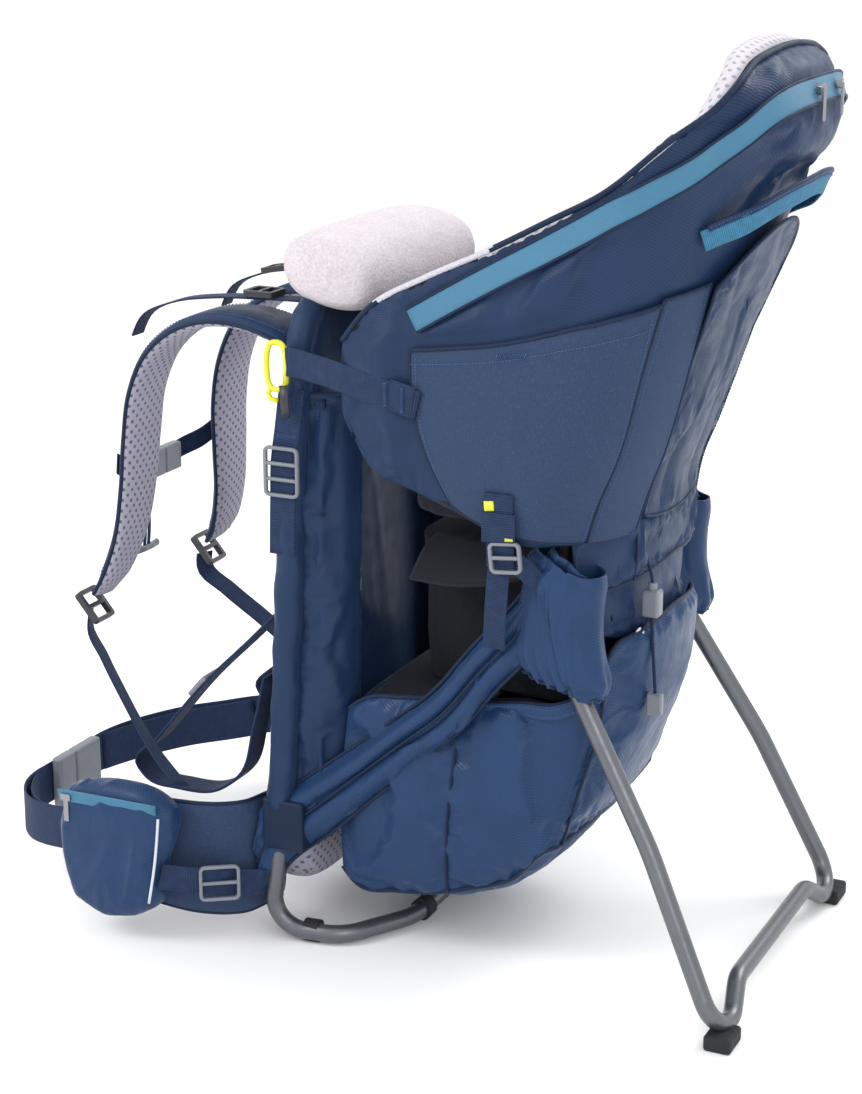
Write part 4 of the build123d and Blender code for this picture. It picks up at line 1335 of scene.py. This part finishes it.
def hook_pieces():
    for side, hand in SIDES:
        rows = [(139, -60.5 + 9.6 * squared(math.cos(a), 0.7), 536 + 20.5 * squared(math.sin(a), 0.7))
                for a in np.linspace(0, math.tau, 41)[:-1]]
        nose = [(139, -66, 516), (139.5, -69, 512), (140, -66, 507), (140, -59, 506)]
        grip = [(139.5, -51.5, 522), (140, -50.6, 536), (139.5, -51.5, 550)]
        parts = [sweep("h", mirror_points(line, side), profile, side=(1, 0, 0), closed=closed)
                 for line, profile, closed in ((rows, oval(2.3, 2.5), True), (nose, oval(2.4, 2.2), False),
                                               (grip, oval(3.2, 2.6), False))]
        hook = join(parts, f"lime_hook_{hand}")
        piece(hook, LIME_PLASTIC, f"entry_hook_{hand}", (f"entry_hook_{hand}",))
        pin = sweep(f"hook_tab_{hand}", mirror_points([(141, -53, 520), (142, -52, 506), (141, -51, 492)],
                                                      side),
                    oval(1.6, 4.2, 12), side=(1, 0, 0))
        piece(pin, DARK_PLASTIC, f"entry_hook_{hand}")
        entry = [(170, 88, 522), (169, 72, 526), (166, 40, 532), (158, 4, 538), (149, -22, 540),
                 (143, -40, 541), (141.5, -50, 541)]
        web = strap(f"side_entry_web_{hand}", entry, 25, (0, 0, 1), 1.9, side)
        piece(web, WEBBING, replaces=once(side, "side_entry_straps"))
        sewn = [(170.4, 84, 536.4 - 12), (168, 60, 529)]
        piece(strap(f"side_entry_fold_{hand}", sewn, 27, (0, 0, 1), 1.2, side), WEBBING)
        tacks = [bartack("t", mirror_points(place, side), (0, 0, 1), (0, 1, 0), (side, 0, 0), 20, 3)
                 for place in ((171.3, 74, 526), (170.3, 58, 529))]
        piece(join(tacks, f"side_entry_tacks_{hand}"), THREAD)
        up = [(130, -51, 516), (133.6, -54, 480), (136, -57, 452), (136.6, -58, 420), (137.5, -59, 368)]
        web = strap(f"upright_web_{hand}", up, 25, (0, 1, 0), 1.9, side)
        piece(web, WEBBING, replaces=once(side, "upright_straps"))
        tack = bartack(f"upright_tack_{hand}", mirror_points((134.8, -54.5, 474), side), (0, 1, 0),
                       (0, 0, 1),
                       (side, 0, 0), 18, 3)
        piece(tack, THREAD)
        thigh = [(168, 160, 456), (167, 160, 430), (164.5, 160, 405), (161, 159, 390)]
        tail = [(160.5, 158, 398), (161, 156, 372), (158, 153, 345), (155, 151, 318)]
        lower = [(161, 166, 400), (158, 178, 392), (154, 190, 380), (151, 200, 370)]
        fold = [(169, 160, 440), (169, 160, 414)]
        webs = [strap("a", thigh, 25, (0, 1, 0), 1.9, side), strap("b", tail, 20, (0, 1, 0), 1.7, side),
                strap("c", lower, 19, (0, 0.6, 0.8), 1.8, side), strap("d", fold, 30, (0, 1, 0), 1.9, side)]
        web = join(webs, f"thigh_web_{hand}")
        piece(web, WEBBING, replaces=once(side, "thigh_straps"))
        tabs = [sweep("l", mirror_points([(168.5, y, z), (169, y + 1, z - 8)], side), band_profile(9, 2.2),
                      side=(0, 1, 0)) for y, z in ((151, 449), (169, 425))]
        piece(join(tabs, f"thigh_lime_tabs_{hand}"), LIME_PLASTIC)
        locks = [ring_buckle("l", mirror_points(place, side), *sizes)
                 for place, *sizes in (((139.4, -57.5, 443), (0, 1, 0), (0, 0, 1), 31, 42, 2),
                                       ((184.6, -103.5, 66.5), (0.56 * side, -0.83, 0), (0, 0, 1),
                                        34, 31, 1),
                                       ((168, 166, 402), (0, 1, 0.1), (0, -0.1, 1), 26, 24, 1))]
        piece(join(locks, f"ladder_lock_set_{hand}"), GREY_PLASTIC,
              replaces=once(side, "ladder_locks"))


def haul_strap():
    left = [(113, 308, 664), (104, 320, 670), (92, 336, 677), (62, 354, 689), (28, 364, 696), (0, 366, 698)]
    line = smooth_line(left + [(-x, y, z) for x, y, z in left[-2::-1]], 110)
    lean = (0, 0.37, 0.93)
    web = sweep("haul_web", line, band_profile(19, 2.2), side=lean)
    piece(web, TEAL_WEB, replaces=("haul_loop",))
    top = sweep("haul_web_edge", line + np.array([0, 4.0, 10.2]), band_profile(7, 2.8), side=lean)
    piece(top, UPPER)
    _, _, ups = frames_along(line, lean)
    out = ups if ups[55][1] > 0 else -ups
    rows = [line + np.array([0, z * 0.4, z]) + out * 1.7 for z in (8.2, 11.6)]
    piece(join([stitches("s", r, out) for r in rows], "haul_stitching"), THREAD)


def stirrup_sling():
    path = [(114, -71, 310), (114, -96, 284), (114, -150, 230), (114, -200, 170), (114, -224, 142),
            (114, -212, 128), (114, -180, 124), (114, -140, 128), (114, -112, 150), (114, -98, 196),
            (114, -86, 246)]
    for side, hand in SIDES:
        sling = strap(f"stirrup_web_{hand}", path, 30, (1, 0, 0), 2.6, side)
        piece(sling, WEBBING, replaces=(f"stirrup_{hand}",))
        lock = ring_buckle(f"stirrup_lock_{hand}", mirror_points((114, -155, 228), side), (1, 0, 0),
                           (0, 0.66, 0.75), 32, 24, 1)
        piece(lock, GREY_PLASTIC)


ZIP_RUN = [(161, 80, 591), (161, 140, 626), (160, 200, 659), (158, 235, 679), (156, 271, 701),
           (145, 304, 722), (136, 323, 737), (119, 339, 751), (100, 350, 763), (73, 359, 771),
           (36, 366, 775), (0, 368, 776)]


def zips(shell_tree):
    """One band of zip tape right round the seat, lying on the shell."""
    half = smooth_line(ZIP_RUN, 110)
    line, out = lay(shell_tree, np.vstack([half, mirror_points(half[-2::-1], -1)]), 4.0)
    for _ in range(3):
        line[1:-1] = (line[:-2] + line[1:-1] * 2 + line[2:]) / 4
        out[1:-1] = (out[:-2] + out[1:-1] * 2 + out[2:]) / 4
    tangent = np.gradient(line, axis=0)
    across = np.cross(tangent, out)
    across *= np.where(across[:, 2:] < 0, -1.0, 1.0) / np.linalg.norm(across, axis=1, keepdims=True)
    tape = sweep("rim_zip_band", line, band_profile(20, 1.4), side=across)
    piece(tape, RIM_TAPE, replaces=("rim_zips",))
    edges = [sweep("p", line + across * s + out * 0.5, circle(1.2, 8)) for s in (-10.4, 10.4)]
    piece(join(edges, "rim_zip_edges"), PIPING)


def chin():
    rings = []
    for x, size in ((-110, 0.72), (-101, 0.92), (-60, 1.0), (0, 1.02), (60, 1.0), (101, 0.92), (110, 0.72)):
        ring = rounded_ring(0, 0, 50, 33, 0, 2.5, 28)
        rings.append([(x, -28 + y * size, 612 + z * size - 0.12 * y) for y, z, _ in ring])
    pad = cushion("chin_bolster", rings, 6.0, 4.0, 6.0, 16)
    piece(pad, FLEECE, replaces=("chin_pad",))


def seat_pad():
    rings = [rounded_ring(0, 112, 88 * size, 84 * size, z)
             for z, size in ((402, 0.95), (408, 1.0), (417, 1.0), (422, 0.95))]
    pad = cushion("seat_pad", rings, 6.0, 3.0, 5.0, 12)
    piece(pad, DARK, "seat", ("seat_cushion",))
    for side, hand in SIDES:
        line = [(44, 290, 628), (46, 280, 590), (46, 263, 530), (42, 250, 506), (34, 241, 494),
                (24, 235, 486)]
        padding = sweep(f"child_strap_pad_{hand}", mirror_points(smooth_line(line[:5], 40), side),
                        [(a * 0.4, b) for a, b in lens(100, 9, 3.0)], side=(1, 0, 0))
        subdivide(padding)
        piece(padding, UPPER, replaces=once(side, "child_harness"))
        piece(strap(f"child_strap_web_{hand}", line[2:], 22, (1, 0, 0), 1.8, side), WEBBING)


# ---- stage --------------------------------------------------------------------------
def camera():
    turn, drop = math.radians(25.31), math.radians(16.56)
    data = bpy.data.cameras.new("camera")
    data.lens = 77.6
    data.sensor_width = 36.0
    eye = bpy.data.objects.new("camera", data)
    bpy.context.scene.collection.objects.link(eye)
    eye.location = (1.864, 0.901, 0.961)
    look = Vector((-math.cos(turn) * math.cos(drop), -math.sin(turn) * math.cos(drop), -math.sin(drop)))
    eye.rotation_mode = "QUATERNION"
    eye.rotation_quaternion = look.to_track_quat("-Z", "Y")
    bpy.context.scene.camera = eye


LIT_POINT = Vector((0, 0.05, 0.4))


def area_light(name, place, power, size):
    data = bpy.data.lights.new(name, "AREA")
    data.energy = power
    data.size = size
    lamp = bpy.data.objects.new(name, data)
    bpy.context.scene.collection.objects.link(lamp)
    lamp.location = place
    lamp.rotation_mode = "QUATERNION"
    lamp.rotation_quaternion = (LIT_POINT - Vector(place)).to_track_quat("-Z", "Y")


def stage():
    mesh = bpy.data.meshes.new("floor")
    mesh.from_pydata([(-70, -70, 0), (70, -70, 0), (70, 70, 0), (-70, 70, 0)], [], [(0, 1, 2, 3)])
    floor = add_object("floor", mesh)
    paint = Finish("floor_paint", (0.93, 0.93, 0.93), 0.95, Specular_IOR_Level=0.05)
    paint.tint(paint.noise(1.5, 2.0), (0.95, 0.95, 0.95))
    floor.data.materials.append(paint.material)
    world = bpy.data.worlds.new("studio")
    bpy.context.scene.world = world
    world.use_nodes = True
    world.node_tree.nodes["Background"].inputs["Color"].default_value = (1.0, 1.0, 1.0, 1.0)
    world.node_tree.nodes["Background"].inputs["Strength"].default_value = 1.08
    area_light("key", (1.9, -1.7, 2.3), 40, 1.3)
    area_light("fill", (2.2, 1.9, 1.5), 20, 1.6)
    area_light("back", (-1.6, 1.2, 2.2), 30, 1.2)
    bpy.context.scene.view_settings.view_transform = "Standard"


# ---- drawcord -----------------------------------------------------------------------
CORD_ROUTE = [(58, 255, 332), (58.6, 256.2, 309), (58.2, 258.4, 286), (58, 260, 263)]


def drawcord():
    curve = bpy.data.curves.new("drawcord_line", "CURVE")
    curve.dimensions = "3D"
    spline = curve.splines.new("NURBS")
    spline.points.add(len(CORD_ROUTE) - 1)
    for point, place in zip(spline.points, CORD_ROUTE):
        point.co = (*(v * MM for v in place), 1.0)
    spline.order_u = 3
    spline.use_endpoint_u = True
    curve.bevel_depth = 1.5 * MM
    curve.bevel_resolution = 4
    curve.use_fill_caps = True
    cord = bpy.data.objects.new("drawcord_line", curve)
    bpy.context.scene.collection.objects.link(cord)
    curve.materials.append(CORD_BRAID)
    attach(cord, "pack")
    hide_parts("drawcord")
    held = [tube("a", [(52, 247, 380), (55, 252, 371), (58, 255, 361)], 1.4),
            tube("b", [(59.5, 254, 334), (63, 252, 326), (67, 248, 319)], 1.4)]
    piece(join(held, "drawcord_held_strands"), CORD_BRAID)


# ---- finish on the CAD parts --------------------------------------------------------
NODE_FINISH = {
    "frame_hoop": TUBE_PAINT, "base_loop": TUBE_PAINT, "rear_hoop": TUBE_PAINT,
    "kickstand_tube": TUBE_PAINT, "base_clips": RUBBER, "kickstand_feet": RUBBER,
    "frame_brackets": PIPING, "kickstand_lugs": GREY_PLASTIC, "pivot_pins": STEEL,
    "belt_buckle_socket": GREY_PLASTIC, "belt_buckle_plug": GREY_PLASTIC,
    "load_lifter_buckles": DARK_PLASTIC, "lower_shoulder_buckles": DARK_PLASTIC,
    "sternum_socket": GREY_PLASTIC, "sternum_plug": GREY_PLASTIC, "harness_buckle": GREY_PLASTIC,
    "harness_button": DARK_PLASTIC, "cord_lock_body": GREY_PLASTIC,
    "cord_lock_button": GREY_PLASTIC, "cord_end": GREY_PLASTIC, "grommet": STEEL,
    "rim_zip_slider_left": ZIP_METAL, "rim_zip_slider_right": ZIP_METAL,
    "pocket_zip_slider_left": ZIP_METAL, "pocket_zip_slider_right": ZIP_METAL,
}


def finish_cad():
    for name, material in NODE_FINISH.items():
        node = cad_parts[name]
        node.data.materials.clear()
        node.data.materials.append(material)
        for poly in node.data.polygons:
            poly.material_index = 0


# ---- assembly -----------------------------------------------------------------------
camera()
drawcord()
stage()
finish_cad()
shell_tree = seat_shell()
side_panels(shell_tree)
back_flap(shell_tree)
seat_lining()
seat_rim()
seat_cuff()
bag()
side_band()
leg_sleeve()
upright_cover()
hoop_cover()
back_pads()
hip_belt()
hip_webbing_piece()
shoulder_harness()
sternum_strap()
hook_pieces()
haul_strap()
stirrup_sling()
zips(shell_tree)
chin()
seat_pad()
